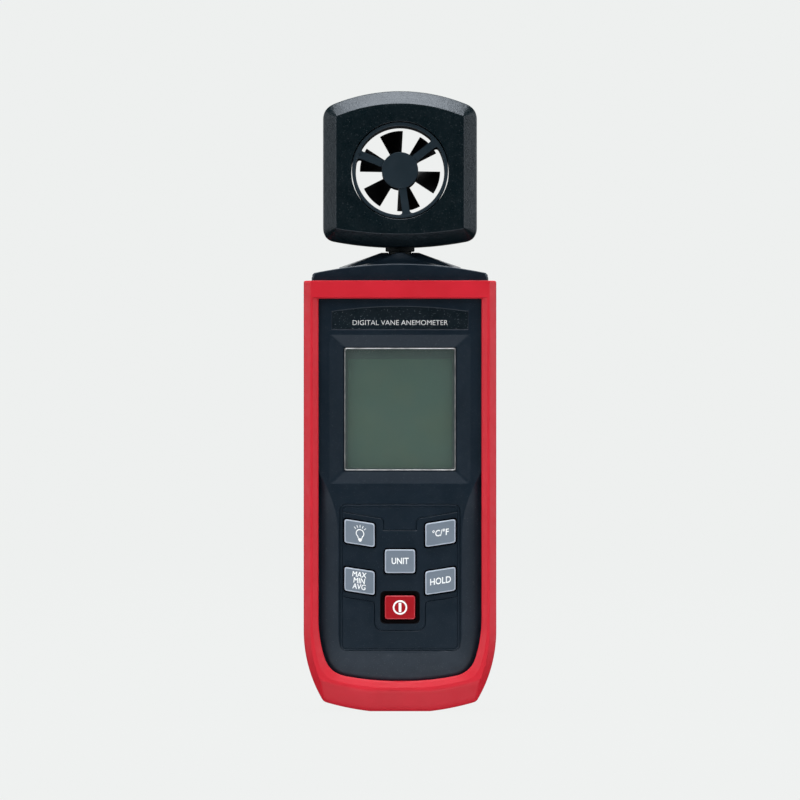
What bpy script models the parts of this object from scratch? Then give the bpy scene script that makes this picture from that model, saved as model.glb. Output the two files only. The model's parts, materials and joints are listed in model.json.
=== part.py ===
"""Vane anemometer: a hand-held wind meter with a swivelling vane head, built as an assembly.

Blender 4.5, metres, +Z up. The meter stands on the foot of its rubber boot, its display faces -Y,
and the origin is at the centre of the base. Sizes in the code are millimetres, and MM turns them
into metres where geometry is made.

Run with: blender --background --python part.py
"""

from math import cos, pi, radians, sin, sqrt

import bmesh
import bpy
from mathutils import Matrix, Vector

MM = 0.001
GAP = 0.3  # clearance between neighbouring pieces

# Driving dimensions, in millimetres.
BOOT_HALF_WIDTH = 31.0
BOOT_TOP = 138.7
BOOT_FRONT = -16.0
BOOT_BACK = 16.0
BOOT_SIDE_RADIUS = 44.2  # of the curve by which the sides draw in towards the foot
BOOT_SHOULDER = 3.2  # depth of the slanted facets round the front and the back
BOOT_RIDGE_INSET = 2.3
BOOT_BACK_WINDOW = (20.2, 14.0, 127.0)  # half width, low edge, high edge
FOOT_HALF_WIDTH = 9.6  # the level middle of the foot, on which the meter stands
CASE_HALF_WIDTH = 28.4
CASE_FRONT = -13.5
CASE_BACK = 13.5
CASE_TOP = 144.1
CASE_BOTTOM = 3.0
CASE_WALL = 1.8
CASE_SIDE_RADIUS = 44.0
TAPER_START_Z = 26.0  # below it the sides of case and boot draw in
ARCH_RADIUS = 131.6  # of the top edge of the case, seen from the front
NECK_TOP = 148.0  # where the case ends and the swivel stem begins
NECK_RADIUS = 4.7
PARTING = 0.15  # half the gap between the two case halves

HEAD_HALF_WIDTH = 24.8
HEAD_DEPTH = 11.0  # half of the head's thickness
HEAD_TOP = 200.0
HEAD_BOTTOM = 149.6
HEAD_BEVEL = 4.2
HEAD_WALL = 1.8
BORE_Z = 174.3  # height of the vane's axis
BORE_RADIUS = 14.35
DUCT_OUTSIDE = 15.5
HEAD_HOLE = 15.8
SPOKE_ANGLES = [38.3 + 120 * i for i in range(3)]
BLADE_COUNT = 6
BLADE_PHASE = 43.0
BLADE_SWEEP = 36.0  # degrees of the circle that one blade covers
BLADE_DEPTH = 6.6
TIP_RADIUS = 13.0
HUB_RADIUS = 5.2
HUB_CAP_RADIUS = 5.87  # of the spiders' hubs, which hide the vane's
SPIDER_FACE, SPIDER_BACK = 10.7, 8.7  # distances from the middle of the head
SPOKE_HALF_WIDTH = 1.2

WINDOW_Z = 97.35
WINDOW_SIZE = (35.9, 39.5)
BEZEL = ((24.6, 25.6, -0.47), (18.25, 20.05, 1.1))  # half width, half height, depth below face
BOARD_FRONT = -5.6
BOARD_BACK = -4.0
BAY_HALF_WIDTH = 17.6
BAY_LOW, BAY_HIGH = 20.5, 68.5
CELL_RADIUS = 5.1
CELL_Y = 6.0
CELL_XS = (-11.5, 0.0, 11.5)
CELL_LENGTH, CELL_NUB = 43.0, 1.2  # a cell without its nub, and the nub
CELL_END_ROOM = 2.6  # for the spring at the flat end
DOOR_HALF_WIDTH = 19.1
DOOR_LOW, DOOR_HIGH = 19.0, 70.5
DOOR_FRONT = 12.2

KEY_SIZE = (9.75, 7.6)
KEY_SLANT = 0.155  # drop of a slanted key's top edge per unit of width
KEY_FACE = CASE_FRONT - 1.0
KEY_FLANGE = (-11.3, -10.3)  # front and back of the rim that keeps a key in
KEYS = {  # name: (centre x, centre z, slant, material)
    "key_light": (-13.0, 57.5, -1, "key_grey"),
    "key_temperature_unit": (13.0, 57.5, 1, "key_grey"),
    "key_speed_unit": (0.0, 48.45, 0, "key_grey"),
    "key_max_min_avg": (-13.0, 42.1, -1, "key_grey"),
    "key_hold": (13.0, 42.1, 1, "key_grey"),
    "key_power": (0.0, 33.6, 0, "key_red"),
}
CASE_SCREWS = [(x, z) for z in (40.0, 127.5) for x in (-23.0, 23.0)]
HEAD_SCREWS = [(x, z) for z in (158.3, 189.0) for x in (-18.2, 18.2)]
BOARD_SCREWS = [(x, z) for z in (71.0, 127.0) for x in (-16.5, 16.5)]
# Shank radius, head radius, head height and length under the head of each kind of screw.
CASE_SCREW_SIZE = (1.2, 2.3, 1.5, 17.5)
HEAD_SCREW_SIZE = (1.05, 1.9, 1.2, 14.0)
BOARD_SCREW_SIZE = (1.0, 1.9, 1.2, 4.9)
CASE_SCREW_SINK = 2.6  # depth of the hole for the screw's head
HEAD_SCREW_SINK = 1.9
LABEL_SIZE = (17.0, 84.3, 118.3)  # half width, low edge, high edge

COLOURS = {  # material: (red, green, blue, roughness, metallic)
    "boot_rubber": (0.60, 0.03, 0.045, 0.55, 0.0),
    "case_plastic": (0.018, 0.024, 0.028, 0.5, 0.0),
    "spider_plastic": (0.022, 0.030, 0.036, 0.5, 0.0),
    "vane_plastic": (0.006, 0.006, 0.007, 0.4, 0.0),
    "key_grey": (0.20, 0.235, 0.28, 0.5, 0.0),
    "key_red": (0.42, 0.015, 0.02, 0.45, 0.0),
    "window_glass": (0.75, 0.85, 0.80, 0.05, 0.0),
    "lcd_glass": (0.10, 0.15, 0.12, 0.25, 0.0),
    "light_guide": (0.85, 0.87, 0.82, 0.3, 0.0),
    "circuit_board": (0.02, 0.16, 0.06, 0.45, 0.0),
    "chip": (0.015, 0.015, 0.017, 0.5, 0.0),
    "silicone": (0.33, 0.34, 0.36, 0.6, 0.0),
    "steel": (0.55, 0.56, 0.58, 0.3, 1.0),
    "brass": (0.70, 0.52, 0.22, 0.3, 1.0),
    "cell_jacket": (0.10, 0.12, 0.16, 0.35, 0.0),
    "jewel": (0.55, 0.05, 0.12, 0.15, 0.0),
    "label_film": (0.55, 0.57, 0.58, 0.4, 0.0),
    "foam": (0.05, 0.05, 0.055, 0.9, 0.0),
    "cable_jacket": (0.03, 0.03, 0.03, 0.5, 0.0),
    "connector_plastic": (0.82, 0.80, 0.72, 0.45, 0.0),
}


# ---------------------------------------------------------------- scene and modelling helpers


def clear_scene():
    for obj in list(bpy.data.objects):
        bpy.data.objects.remove(obj)


def new_collection(name):
    made = bpy.data.collections.new(name)
    bpy.context.scene.collection.children.link(made)
    return made


def new_material(name, values):
    red, green, blue, roughness, metallic = values
    made = bpy.data.materials.new(name)
    made.use_nodes = True
    shader = made.node_tree.nodes["Principled BSDF"]
    shader.inputs["Base Color"].default_value = (red, green, blue, 1)
    shader.inputs["Roughness"].default_value = roughness
    shader.inputs["Metallic"].default_value = metallic
    made.diffuse_color = (red, green, blue, 1)
    return made


def add(name, mesh):
    """Links a mesh, whose points are already in place, as a part of the meter."""
    obj = bpy.data.objects.new(name, mesh)
    parts.objects.link(obj)
    return obj


def from_bmesh(name, bm):
    bmesh.ops.recalc_face_normals(bm, faces=bm.faces[:])
    mesh = bpy.data.meshes.new(name)
    bm.to_mesh(mesh)
    bm.free()
    return add(name, mesh)


def mesh_of_curve(curve, matrix):
    """The curve's closed mesh, its caps welded and its flat faces made whole."""
    guide = bpy.data.objects.new(curve.name, curve)
    cutters.objects.link(guide)
    graph = bpy.context.evaluated_depsgraph_get()
    mesh = bpy.data.meshes.new_from_object(guide.evaluated_get(graph))
    bpy.data.objects.remove(guide)
    mesh.transform(matrix)
    bm = bmesh.new()
    bm.from_mesh(mesh)
    bmesh.ops.remove_doubles(bm, verts=bm.verts[:], dist=1e-6)
    bmesh.ops.dissolve_limit(
        bm, angle_limit=radians(0.5), verts=bm.verts[:], edges=bm.edges[:]
    )
    bmesh.ops.recalc_face_normals(bm, faces=bm.faces[:])
    bm.to_mesh(mesh)
    bm.free()
    return mesh


def outline_solid(name, outline, y_front, y_back):
    """A closed outline of (x, z) points in the plane of the display, given a thickness along Y."""
    curve = bpy.data.curves.new(name, "CURVE")
    curve.dimensions = "2D"
    curve.fill_mode = "BOTH"
    curve.extrude = (y_back - y_front) / 2 * MM
    spline = curve.splines.new("POLY")
    spline.points.add(len(outline) - 1)
    for point, (x, z) in zip(spline.points, outline):
        point.co = (x * MM, z * MM, 0, 1)
    spline.use_cyclic_u = True
    middle = Matrix.Translation((0, (y_front + y_back) / 2 * MM, 0))
    return add(name, mesh_of_curve(curve, middle @ Matrix.Rotation(pi / 2, 4, "X")))


def tube_along(name, points, radius, resolution=1):
    """A round wire or cable through the points."""
    curve = bpy.data.curves.new(name, "CURVE")
    curve.dimensions = "3D"
    curve.bevel_depth = radius * MM
    curve.bevel_resolution = resolution
    curve.use_fill_caps = True
    spline = curve.splines.new("POLY")
    spline.points.add(len(points) - 1)
    for point, place in zip(spline.points, points):
        point.co = (*[v * MM for v in place], 1)
    return add(name, mesh_of_curve(curve, Matrix.Identity(4)))


def box(name, low, high):
    """An upright box between two corners."""
    bm = bmesh.new()
    bmesh.ops.create_cube(bm, size=1)
    size = [(b - a) * MM for a, b in zip(low, high)]
    centre = Vector([(a + b) / 2 * MM for a, b in zip(low, high)])
    bmesh.ops.scale(bm, vec=size, verts=bm.verts[:])
    bmesh.ops.translate(bm, vec=centre, verts=bm.verts[:])
    return from_bmesh(name, bm)


TO_AXIS = {  # turns the Z axis of a primitive to the part's axis
    "X": Matrix.Rotation(pi / 2, 4, "Y"),
    "Y": Matrix.Rotation(-pi / 2, 4, "X"),
    "Z": Matrix.Identity(4),
}


def cylinder(name, start, axis, radius, length, sides=24, end_radius=None):
    """A cylinder or cone from its start point along +axis."""
    bm = bmesh.new()
    bmesh.ops.create_cone(
        bm,
        cap_ends=True,
        segments=sides,
        radius1=radius * MM,
        radius2=(radius if end_radius is None else end_radius) * MM,
        depth=length * MM,
        matrix=Matrix.Translation((0, 0, length / 2 * MM)),
    )
    place = Matrix.Translation(Vector(start) * MM) @ TO_AXIS[axis]
    bmesh.ops.transform(bm, matrix=place, verts=bm.verts[:])
    return from_bmesh(name, bm)


def turned(name, profile, start, axis, sides=48):
    """A profile of (radius, distance along axis) points, closed on itself, turned about the axis."""
    mesh = bpy.data.meshes.new(name)
    points = [(r * MM, 0, along * MM) for r, along in profile]
    edges = [(i, (i + 1) % len(points)) for i in range(len(points))]
    mesh.from_pydata(points, edges, [])
    guide = bpy.data.objects.new(name, mesh)
    cutters.objects.link(guide)
    screw = guide.modifiers.new("turn", "SCREW")
    screw.steps = screw.render_steps = sides
    screw.use_merge_vertices = True
    screw.merge_threshold = 1e-6
    graph = bpy.context.evaluated_depsgraph_get()
    made = bpy.data.meshes.new_from_object(guide.evaluated_get(graph))
    bpy.data.objects.remove(guide)
    made.transform(Matrix.Translation(Vector(start) * MM) @ TO_AXIS[axis])
    bm = bmesh.new()
    bm.from_mesh(made)
    bmesh.ops.remove_doubles(bm, verts=bm.verts[:], dist=1e-6)
    bpy.data.meshes.remove(made)
    return from_bmesh(name, bm)


def ring(name, inside, outside, y_front, y_back, z=BORE_Z, sides=48):
    """A plain ring round the vane's axis."""
    thickness = y_back - y_front
    profile = [(inside, 0), (outside, 0), (outside, thickness), (inside, thickness)]
    return turned(name, profile, (0, y_front, z), "Y", sides)


def loft(name, rings):
    """A closed solid through rings of (x, y, z) points, capped at both ends."""
    bm = bmesh.new()
    rows = [[bm.verts.new(Vector(p) * MM) for p in points] for points in rings]
    for low, high in zip(rows, rows[1:]):
        for i in range(len(low)):
            j = (i + 1) % len(low)
            bm.faces.new((low[i], low[j], high[j], high[i]))
    bm.faces.new(rows[0][::-1])
    bm.faces.new(rows[-1])
    return from_bmesh(name, bm)


def boolean(target, operation, others):
    for other in others:
        modifier = target.modifiers.new(operation.lower(), "BOOLEAN")
        modifier.operation = operation
        modifier.object = other
        parts.objects.unlink(other)
        cutters.objects.link(other)
        other.hide_render = True
        other.display_type = "WIRE"


def cut(target, *others):
    boolean(target, "DIFFERENCE", others)


def join(target, *others):
    boolean(target, "UNION", others)


def bevel(obj, width, segments=1, angle=40):
    modifier = obj.modifiers.new("bevel", "BEVEL")
    modifier.width = width * MM
    modifier.segments = segments
    modifier.limit_method = "ANGLE"
    modifier.angle_limit = radians(angle)


def settle(obj):
    """Replaces the object's mesh by what its modifiers make, so that it can be cut or copied."""
    graph = bpy.context.evaluated_depsgraph_get()
    made = bpy.data.meshes.new_from_object(obj.evaluated_get(graph))
    obj.modifiers.clear()
    obj.data = made
    return obj


def paint(material, *objects):
    for obj in objects:
        obj.data.materials.clear()
        obj.data.materials.append(materials[material])


# ---------------------------------------------------------------- outlines, as (x, z) points


def rounded(corners, radius, steps=3):
    """A polygon whose corners are rounded, each by a quadratic curve that starts radius away."""
    made = []
    for i, corner in enumerate(corners):
        here = Vector(corner)
        for step in range(steps + 1):
            t = step / steps
            before = here + (Vector(corners[i - 1]) - here).normalized() * radius
            after = here + (Vector(corners[(i + 1) % len(corners)]) - here).normalized() * radius
            made.append(tuple(before * (1 - t) ** 2 + here * 2 * t * (1 - t) + after * t**2))
    return made


def rectangle(half_width, low, high, radius, steps=3, centre=0.0):
    left, right = centre - half_width, centre + half_width
    return rounded([(left, low), (right, low), (right, high), (left, high)], radius, steps)


def mirrored(half):
    """Both sides of an outline from its +X half, which runs from top centre to bottom centre."""
    return half + [(-x, z) for x, z in reversed(half) if abs(x) > 1e-6]


def arch(x):
    """Height of the case's top edge."""
    return CASE_TOP - x * x / (2 * ARCH_RADIUS)


def lower_half(width, side_z, side_radius, bottom_z, bottom_radius, corner, steps, flat=0.0):
    """The side, corner and foot of a tapering outline: the side curves in below side_z and meets
    the foot's shallow arc at a corner, which is eased over the length corner. The foot is level
    out to the half-width flat."""

    def side(t):
        return Vector((width - side_radius * (1 - cos(t)), side_z - side_radius * sin(t)))

    def foot_height(x):
        return bottom_z + bottom_radius - sqrt(bottom_radius**2 - max(x * x - flat * flat, 0.0))

    low, high = 0.0, pi / 2
    for _ in range(40):  # where the side meets the foot
        t = (low + high) / 2
        if side(t).y > foot_height(side(t).x):
            low = t
        else:
            high = t
    meet = side(low)
    last = low - corner / side_radius
    points = [tuple(side(last * i / steps)) for i in range(steps + 1)]
    start, end = Vector(points[-1]), Vector((meet.x - corner, foot_height(meet.x - corner)))
    for i in range(1, 4):
        t = i / 4
        points.append(tuple(start * (1 - t) ** 2 + meet * 2 * t * (1 - t) + end * t**2))
    arc_steps = steps - 1 if flat else steps
    for i in range(arc_steps + 1):
        x = end.x + (flat - end.x) * i / arc_steps
        points.append((x, foot_height(x)))
    if flat:
        points.append((0.0, bottom_z))
    return points


def case_outline(inset=0.0, top=None, steps=6, foot_rise=0.0):
    """The case seen from the front, made smaller by inset. A top cuts it off level there, and
    foot_rise lifts only its foot."""
    width = CASE_HALF_WIDTH - inset
    if top is None:
        ease = max(1.4 - inset, 0.3)
        edge = width - ease
        crown = [(edge * i / steps, arch(edge * i / steps) - inset) for i in range(steps + 1)]
        crown.append((width, crown[-1][1] - ease))
    else:
        crown = [(0.0, top), (width, top)]
    foot, side = CASE_BOTTOM + inset + foot_rise, CASE_SIDE_RADIUS - inset
    return mirrored(crown + lower_half(width, TAPER_START_Z, side, foot, 110.0, 3.0, steps))


def boot_outline(inset=0.0, foot_rise=0.0, top=BOOT_TOP, steps=6):
    """The boot seen from the front; foot_rise lifts only its foot."""
    width = BOOT_HALF_WIDTH - inset
    crown = [(0.0, top), (width, top)]
    return mirrored(
        crown
        + lower_half(
            width, TAPER_START_Z, BOOT_SIDE_RADIUS, foot_rise, 84.0, 1.0, steps, FOOT_HALF_WIDTH
        )
    )


def taper(t):
    """The curve along which the raised front narrows, from beside the display to beside the keys."""
    ends = Vector((28.0, 80.0)), Vector((20.2, 57.0))
    leans = Vector((25.4, 74.5)), Vector((20.2, 68.0))
    u = 1 - t
    return ends[0] * u**3 + leans[0] * 3 * t * u * u + leans[1] * 3 * t * t * u + ends[1] * t**3


def plateau_outline(steps=6):
    """The raised front of the case: as wide as the case round the display, narrower round the keys."""
    half = [(x, arch(x) - 0.3) for x in (0.0, 8.0, 16.0, 22.0)]
    half += [(27.0, arch(27.0) - 0.4), (28.0, 139.4)]
    half += [tuple(taper(i / steps)) for i in range(steps + 1)]
    half += [(20.2, 24.5), (19.4, 21.2), (17.0, 19.4), (10.0, 18.9), (0.0, 18.7)]
    return mirrored(half)


def case_edge_outline(steps=6):
    """The case's outer edge, with one point for each point of the plateau's outline."""
    half = [(x, arch(x)) for x in (0.0, 8.0, 16.0, 22.0)] + [(27.2, arch(27.2)), (28.4, 139.6)]
    half += [(28.4, taper(i / steps).y) for i in range(steps + 1)]
    full = case_outline()
    lower = [p for p in full[: len(full) // 2 + 1] if p[1] < 26.5]
    picks = [lower[0], lower[4], lower[7], lower[-4], lower[-1]]
    return mirrored(half + picks)


def head_outline(inset=0.0, steps=6):
    """The vane head seen from the front: a crowned top, straight sides and a shallow vee foot."""
    width = HEAD_HALF_WIDTH - inset
    top_radius, foot_radius = 57.0 - inset, 115.0 + inset
    ease = max(3.4 - 0.5 * inset, 0.8)

    def top(x):
        return HEAD_TOP - inset - top_radius + sqrt(top_radius**2 - x * x)

    def foot(x):
        return HEAD_BOTTOM + inset + foot_radius - sqrt(foot_radius**2 - x * x)

    edge = width - ease
    half = [(edge * i / steps, top(edge * i / steps)) for i in range(steps)]
    for height, sign in ((top, -1), (foot, 1)):
        near, corner = Vector((edge, height(edge))), Vector((width, height(width)))
        far = corner + Vector((0, sign * ease))
        bend = [
            tuple(near * (1 - t) ** 2 + corner * 2 * t * (1 - t) + far * t * t)
            for t in (0, 0.25, 0.5, 0.75, 1)
        ]
        half += bend if sign < 0 else bend[::-1]
    half += [(edge * (1 - i / steps), foot(edge * (1 - i / steps))) for i in range(1, steps + 1)]
    return mirrored(half)


def key_outline(x, z, slant, outset=0.0):
    """A key: its sides are upright and its top and foot slope by the slant."""
    half_width, half_height = KEY_SIZE[0] / 2 + outset, KEY_SIZE[1] / 2 + outset
    drop = slant * KEY_SLANT * half_width
    corners = [
        (x - half_width, z - half_height - drop),
        (x + half_width, z - half_height + drop),
        (x + half_width, z + half_height + drop),
        (x - half_width, z + half_height - drop),
    ]
    return rounded(corners, 0.9 + outset * 0.5, 2)


def at(outline, y):
    return [(x, y, z) for x, z in outline]


# ---------------------------------------------------------------- casings


def make_boot():
    """The stretchy outer boot: a ridge runs round its front, and it is open at front, back and top."""

    def shoulder(x, z):  # the front facet is deeper at the foot than at the sides
        return x, BOOT_FRONT + BOOT_SHOULDER + 2.5 * max(0.0, 1 - z / 24), z

    shell = loft(
        "rubber_boot",
        [
            at(boot_outline(BOOT_RIDGE_INSET, 4.0), BOOT_BACK),
            at(boot_outline(), BOOT_BACK - BOOT_SHOULDER),
            [shoulder(x, z) for x, z in boot_outline()],
            at(boot_outline(BOOT_RIDGE_INSET, 7.1), BOOT_FRONT),
        ],
    )
    room = [
        at(case_outline(-GAP, top=BOOT_TOP + 2, foot_rise=rise), y)
        for y, rise in ((CASE_FRONT - GAP, 9.0), (-12.5, 7.2), (-11.3, 0.0), (CASE_BACK + GAP, 0.0))
    ]
    cut(shell, loft("boot_room", room))
    window = mirrored(
        [(0.0, 132.9), (26.2, 132.9)] + lower_half(26.2, 30.0, 42.0, 9.8, 91.0, 4.5, 6)
    )
    ridge = mirrored(
        [(0.0, 133.3), (28.7, 133.3)] + lower_half(28.7, 28.0, 44.0, 7.1, 100.0, 3.0, 6)
    )
    step = CASE_FRONT - GAP - 0.8
    front = [at(window, CASE_FRONT + 1), at(window, step), at(ridge, BOOT_FRONT), at(ridge, -18)]
    cut(shell, loft("boot_front_window", front))
    back = rectangle(*BOOT_BACK_WINDOW, 5.0, 4)
    cut(shell, outline_solid("boot_back_window", back, CASE_BACK - 1, BOOT_BACK + 1))
    paint("boot_rubber", shell)


def saddle(name):
    """The rise from the case's arched top to the swivel neck: a tent in the middle of the case's
    thickness, a bell-shaped flare in front of and behind it, and the plain arch at the edges."""
    rise = NECK_TOP - CASE_TOP
    xs = [0.0, 2.5, 5.0, 6.5, 8.5, 11.0, 14.0, 17.0, 20.0, 23.5]

    def tent(x):
        return max(arch(x), NECK_TOP - 0.386 * max(0.0, x - 6.0))

    def bell(x):
        return arch(x) + rise / (1 + (x / 5.2) ** 2) - rise / (1 + (23.5 / 5.2) ** 2)

    def section(y, height):
        half = [(x, height(x)) for x in xs] + [(23.5, 139.0), (0.0, 139.0)]
        return at(mirrored(half), y)

    sections = [(0.85, arch), (0.62, lambda x: 0.7 * arch(x) + 0.3 * bell(x)), (0.42, bell)]
    sections += [(0.3, lambda x: (bell(x) + tent(x)) / 2), (0.15, tent)]
    depths = [(-f * CASE_BACK, h) for f, h in sections] + [
        (f * CASE_BACK, h) for f, h in reversed(sections)
    ]
    return loft(name, [section(y, h) for y, h in depths])


def half_space(name, y_low, y_high):
    return box(name, (-60, y_low, -10), (60, y_high, 220))


def make_front_case():
    shell = loft(
        "front_case",
        [
            at(case_edge_outline(), 1.0),
            at(case_edge_outline(), -11.0),
            at(plateau_outline(), CASE_FRONT),
        ],
    )
    join(shell, saddle("front_saddle"))
    cut(shell, half_space("front_parting", -PARTING, 30))
    cut(shell, outline_solid("front_room", case_outline(CASE_WALL), -9.4, 2))
    pocket = rectangle(20.3, 23.0, 70.0, 2.0)
    cut(shell, outline_solid("key_pocket", pocket, CASE_FRONT + 1.8, -9))
    pocket = rectangle(21.0, 72.5, 122.5, 1.5)
    cut(shell, outline_solid("lcd_pocket", pocket, -10.4, -9))

    width, height = WINDOW_SIZE
    low, high = WINDOW_Z - height / 2, WINDOW_Z + height / 2
    bezel = [
        at(rectangle(half, WINDOW_Z - tall, WINDOW_Z + tall, 0.8), CASE_FRONT + depth)
        for half, tall, depth in BEZEL
    ]
    cut(shell, loft("bezel_slope", bezel))
    seat = rectangle(width / 2 + GAP, low - GAP, high + GAP, 0.9)
    cut(shell, outline_solid("window_seat", seat, CASE_FRONT, -10.9))
    sight = rectangle(width / 2 - 1.4, low + 1.4, high - 1.4, 0.6)
    cut(shell, outline_solid("window_sight", sight, CASE_FRONT, -9))

    for x, z in CASE_SCREWS:
        join(shell, cylinder("case_boss", (x, -10.2, z), "Y", 3.0, 9.8, 16))
        cut(shell, cylinder("case_pilot", (x, -8.5, z), "Y", 1.35, 9, 12))
    for x, z in BOARD_SCREWS:
        join(shell, cylinder("board_boss", (x, -10.9, z), "Y", 2.2, 5.0, 12))
        cut(shell, cylinder("board_pilot", (x, -9.9, z), "Y", 1.15, 5, 12))
    for name, (x, z, slant, _) in KEYS.items():
        hole = key_outline(x, z, slant, 0.35)
        if name == "key_power":
            guard = rectangle(6.1, z - 5.0, z + 5.0, 1.6, 3, x)
            cut(shell, outline_solid("power_recess", guard, CASE_FRONT - 1, CASE_FRONT + 1.1))
        cut(shell, outline_solid(name + "_hole", hole, CASE_FRONT - 1, -9))
    cut(shell, cylinder("front_neck_bore", (0, 0, 138), "Z", 3.95, 14, 24))
    paint("case_plastic", shell)


def make_rear_case():
    shell = loft(
        "rear_case",
        [
            at(case_outline(), -1.0),
            at(case_outline(), CASE_BACK - 2.0),
            at(case_outline(2.0), CASE_BACK),
        ],
    )
    join(shell, saddle("rear_saddle"))
    cut(shell, half_space("rear_parting", -30, PARTING))
    cut(shell, outline_solid("rear_room", case_outline(CASE_WALL + 0.6), -2, CASE_BACK - CASE_WALL))
    bay_walls = rectangle(BAY_HALF_WIDTH + 2.0, BAY_LOW - 2.0, BAY_HIGH + 2.2, 1.0)
    join(shell, outline_solid("bay_walls", bay_walls, -0.9, CASE_BACK - 1.0))
    for x, z in CASE_SCREWS:
        join(shell, cylinder("rear_boss", (x, 0.45, z), "Y", 3.2, 12.2, 16))
        cut(shell, cylinder("head_room", (x, CASE_BACK - CASE_SCREW_SINK, z), "Y", 2.6, 4, 16))
        cut(shell, cylinder("shank_room", (x, -1, z), "Y", 1.5, 14, 12))
    seat = rectangle(DOOR_HALF_WIDTH + GAP, DOOR_LOW - GAP, DOOR_HIGH + GAP, 2.3)
    cut(shell, outline_solid("door_seat", seat, DOOR_FRONT - GAP, CASE_BACK + 1))
    bay = rectangle(BAY_HALF_WIDTH, BAY_LOW, BAY_HIGH, 0.8)
    cut(shell, outline_solid("battery_bay", bay, 0.6, CASE_BACK + 1))
    for x in (-9.0, 9.0):  # where the door's hooks go under the edge of its seat
        slot = box("hook_slot", (x - 3.3, 8.4, 14.8), (x + 3.3, DOOR_FRONT - 0.01, BAY_LOW + 1))
        cut(shell, slot)
    label_room = rectangle(17.3, 84.0, 118.6, 1.8)
    cut(shell, outline_solid("label_room", label_room, CASE_BACK - 0.7, CASE_BACK + 1))
    cut(shell, cylinder("rear_neck_bore", (0, 0, 138), "Z", 3.95, 14, 24))
    paint("case_plastic", shell)


def make_battery_door():
    """The door turns out about its lower edge, where two hooks hold it, and a tongue latches it."""
    outline = rectangle(DOOR_HALF_WIDTH, DOOR_LOW, DOOR_HIGH, 2.0)
    door = outline_solid("battery_door", outline, DOOR_FRONT, CASE_BACK)
    for x in (-9.0, 9.0):
        join(door, box("door_hook", (x - 2.8, 10.1, 16.9), (x + 2.8, 11.4, 21.4)))
        join(door, box("door_hook_root", (x - 2.8, 10.2, 20.4), (x + 2.8, 12.8, 21.7)))
    join(door, box("door_tongue", (-3.8, 9.9, 67.0), (3.8, 12.8, 68.1)))
    for z in (61.0, 63.0, 65.0):  # thumb grip
        cut(door, box("thumb_groove", (-7, CASE_BACK - 0.5, z), (7, CASE_BACK + 1, z + 0.9)))
    paint("case_plastic", door)
    front, back = CELL_Y + CELL_RADIUS + GAP, DOOR_FRONT - GAP
    pad = box("battery_door_pad", (-14, front, 38), (14, back, 52))
    paint("foam", pad)


# ---------------------------------------------------------------- display, keys and board


def make_display():
    width, height = WINDOW_SIZE
    low, high = WINDOW_Z - height / 2, WINDOW_Z + height / 2
    outline = rectangle(width / 2, low, high, 0.8)
    paint("window_glass", outline_solid("display_window", outline, -12.4, -11.2))
    glass = box("lcd_glass", (-18.6, -10.1, WINDOW_Z - 21.5), (18.6, -8.1, WINDOW_Z + 20.5))
    paint("lcd_glass", glass)
    guide = box("lcd_light_guide", (-18.0, -7.8, WINDOW_Z - 17.5), (18.0, -5.9, WINDOW_Z + 20.0))
    paint("light_guide", guide)
    strip = box("zebra_strip", (-16.0, -7.8, WINDOW_Z - 21.0), (16.0, -5.9, WINDOW_Z - 18.6))
    paint("silicone", strip)


def make_keys():
    for name, (x, z, slant, material) in KEYS.items():
        cap = outline_solid(name, key_outline(x, z, slant), KEY_FACE, -10.9)
        bevel(cap, 0.35)
        settle(cap)
        flange = outline_solid(name + "_flange", key_outline(x, z, slant, 0.75), *KEY_FLANGE)
        join(cap, flange, cylinder(name + "_stem", (x, -10.6, z), "Y", 1.6, 2.7, 12))
        paint(material, cap)
    sheet = outline_solid("key_membrane", rectangle(18.6, 25.0, 65.5, 1.5), -6.9, -5.9)
    paint("silicone", sheet)


def make_board():
    board = outline_solid("main_board", rectangle(19.4, 24.0, 132.0, 1.5), BOARD_FRONT, BOARD_BACK)
    for x, z in BOARD_SCREWS:
        cut(board, cylinder("board_hole", (x, -7, z), "Y", 1.4, 5, 12))
    paint("circuit_board", board)
    chip = box("microcontroller", (-6, BOARD_BACK + GAP, 88), (6, BOARD_BACK + 1.9, 100))
    paint("chip", chip)
    buzzer = cylinder("buzzer", (-11, BOARD_BACK + GAP, 114), "Y", 6.0, 4.2, 24)
    paint("chip", buzzer)
    socket = box("cable_socket", (5.6, BOARD_BACK + GAP, 121.5), (12.4, BOARD_BACK + 4.2, 127.5))
    paint("connector_plastic", socket)
    for i, (x, z) in enumerate(BOARD_SCREWS):
        screw(f"board_screw_{i + 1}", x, z, BOARD_BACK + GAP, *BOARD_SCREW_SIZE)


def screw(name, x, z, seat_y, shank, head, head_height, length):
    """A pan-head screw driven along -Y, with a cross recess; its head rests at seat_y."""
    body = cylinder(name, (x, seat_y - length, z), "Y", shank, length + 0.2, 12)
    cap = cylinder(name + "_head", (x, seat_y, z), "Y", head, head_height, 16, head * 0.8)
    join(body, cap)
    reach, width, depth = head * 0.55, head * 0.11, head_height * 0.55
    face = seat_y + head_height
    for across, along in ((reach, width), (width, reach)):
        low = (x - across, face - depth, z - along)
        cut(body, box(name + "_recess", low, (x + across, face + 1, z + along)))
    paint("steel", body)


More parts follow.
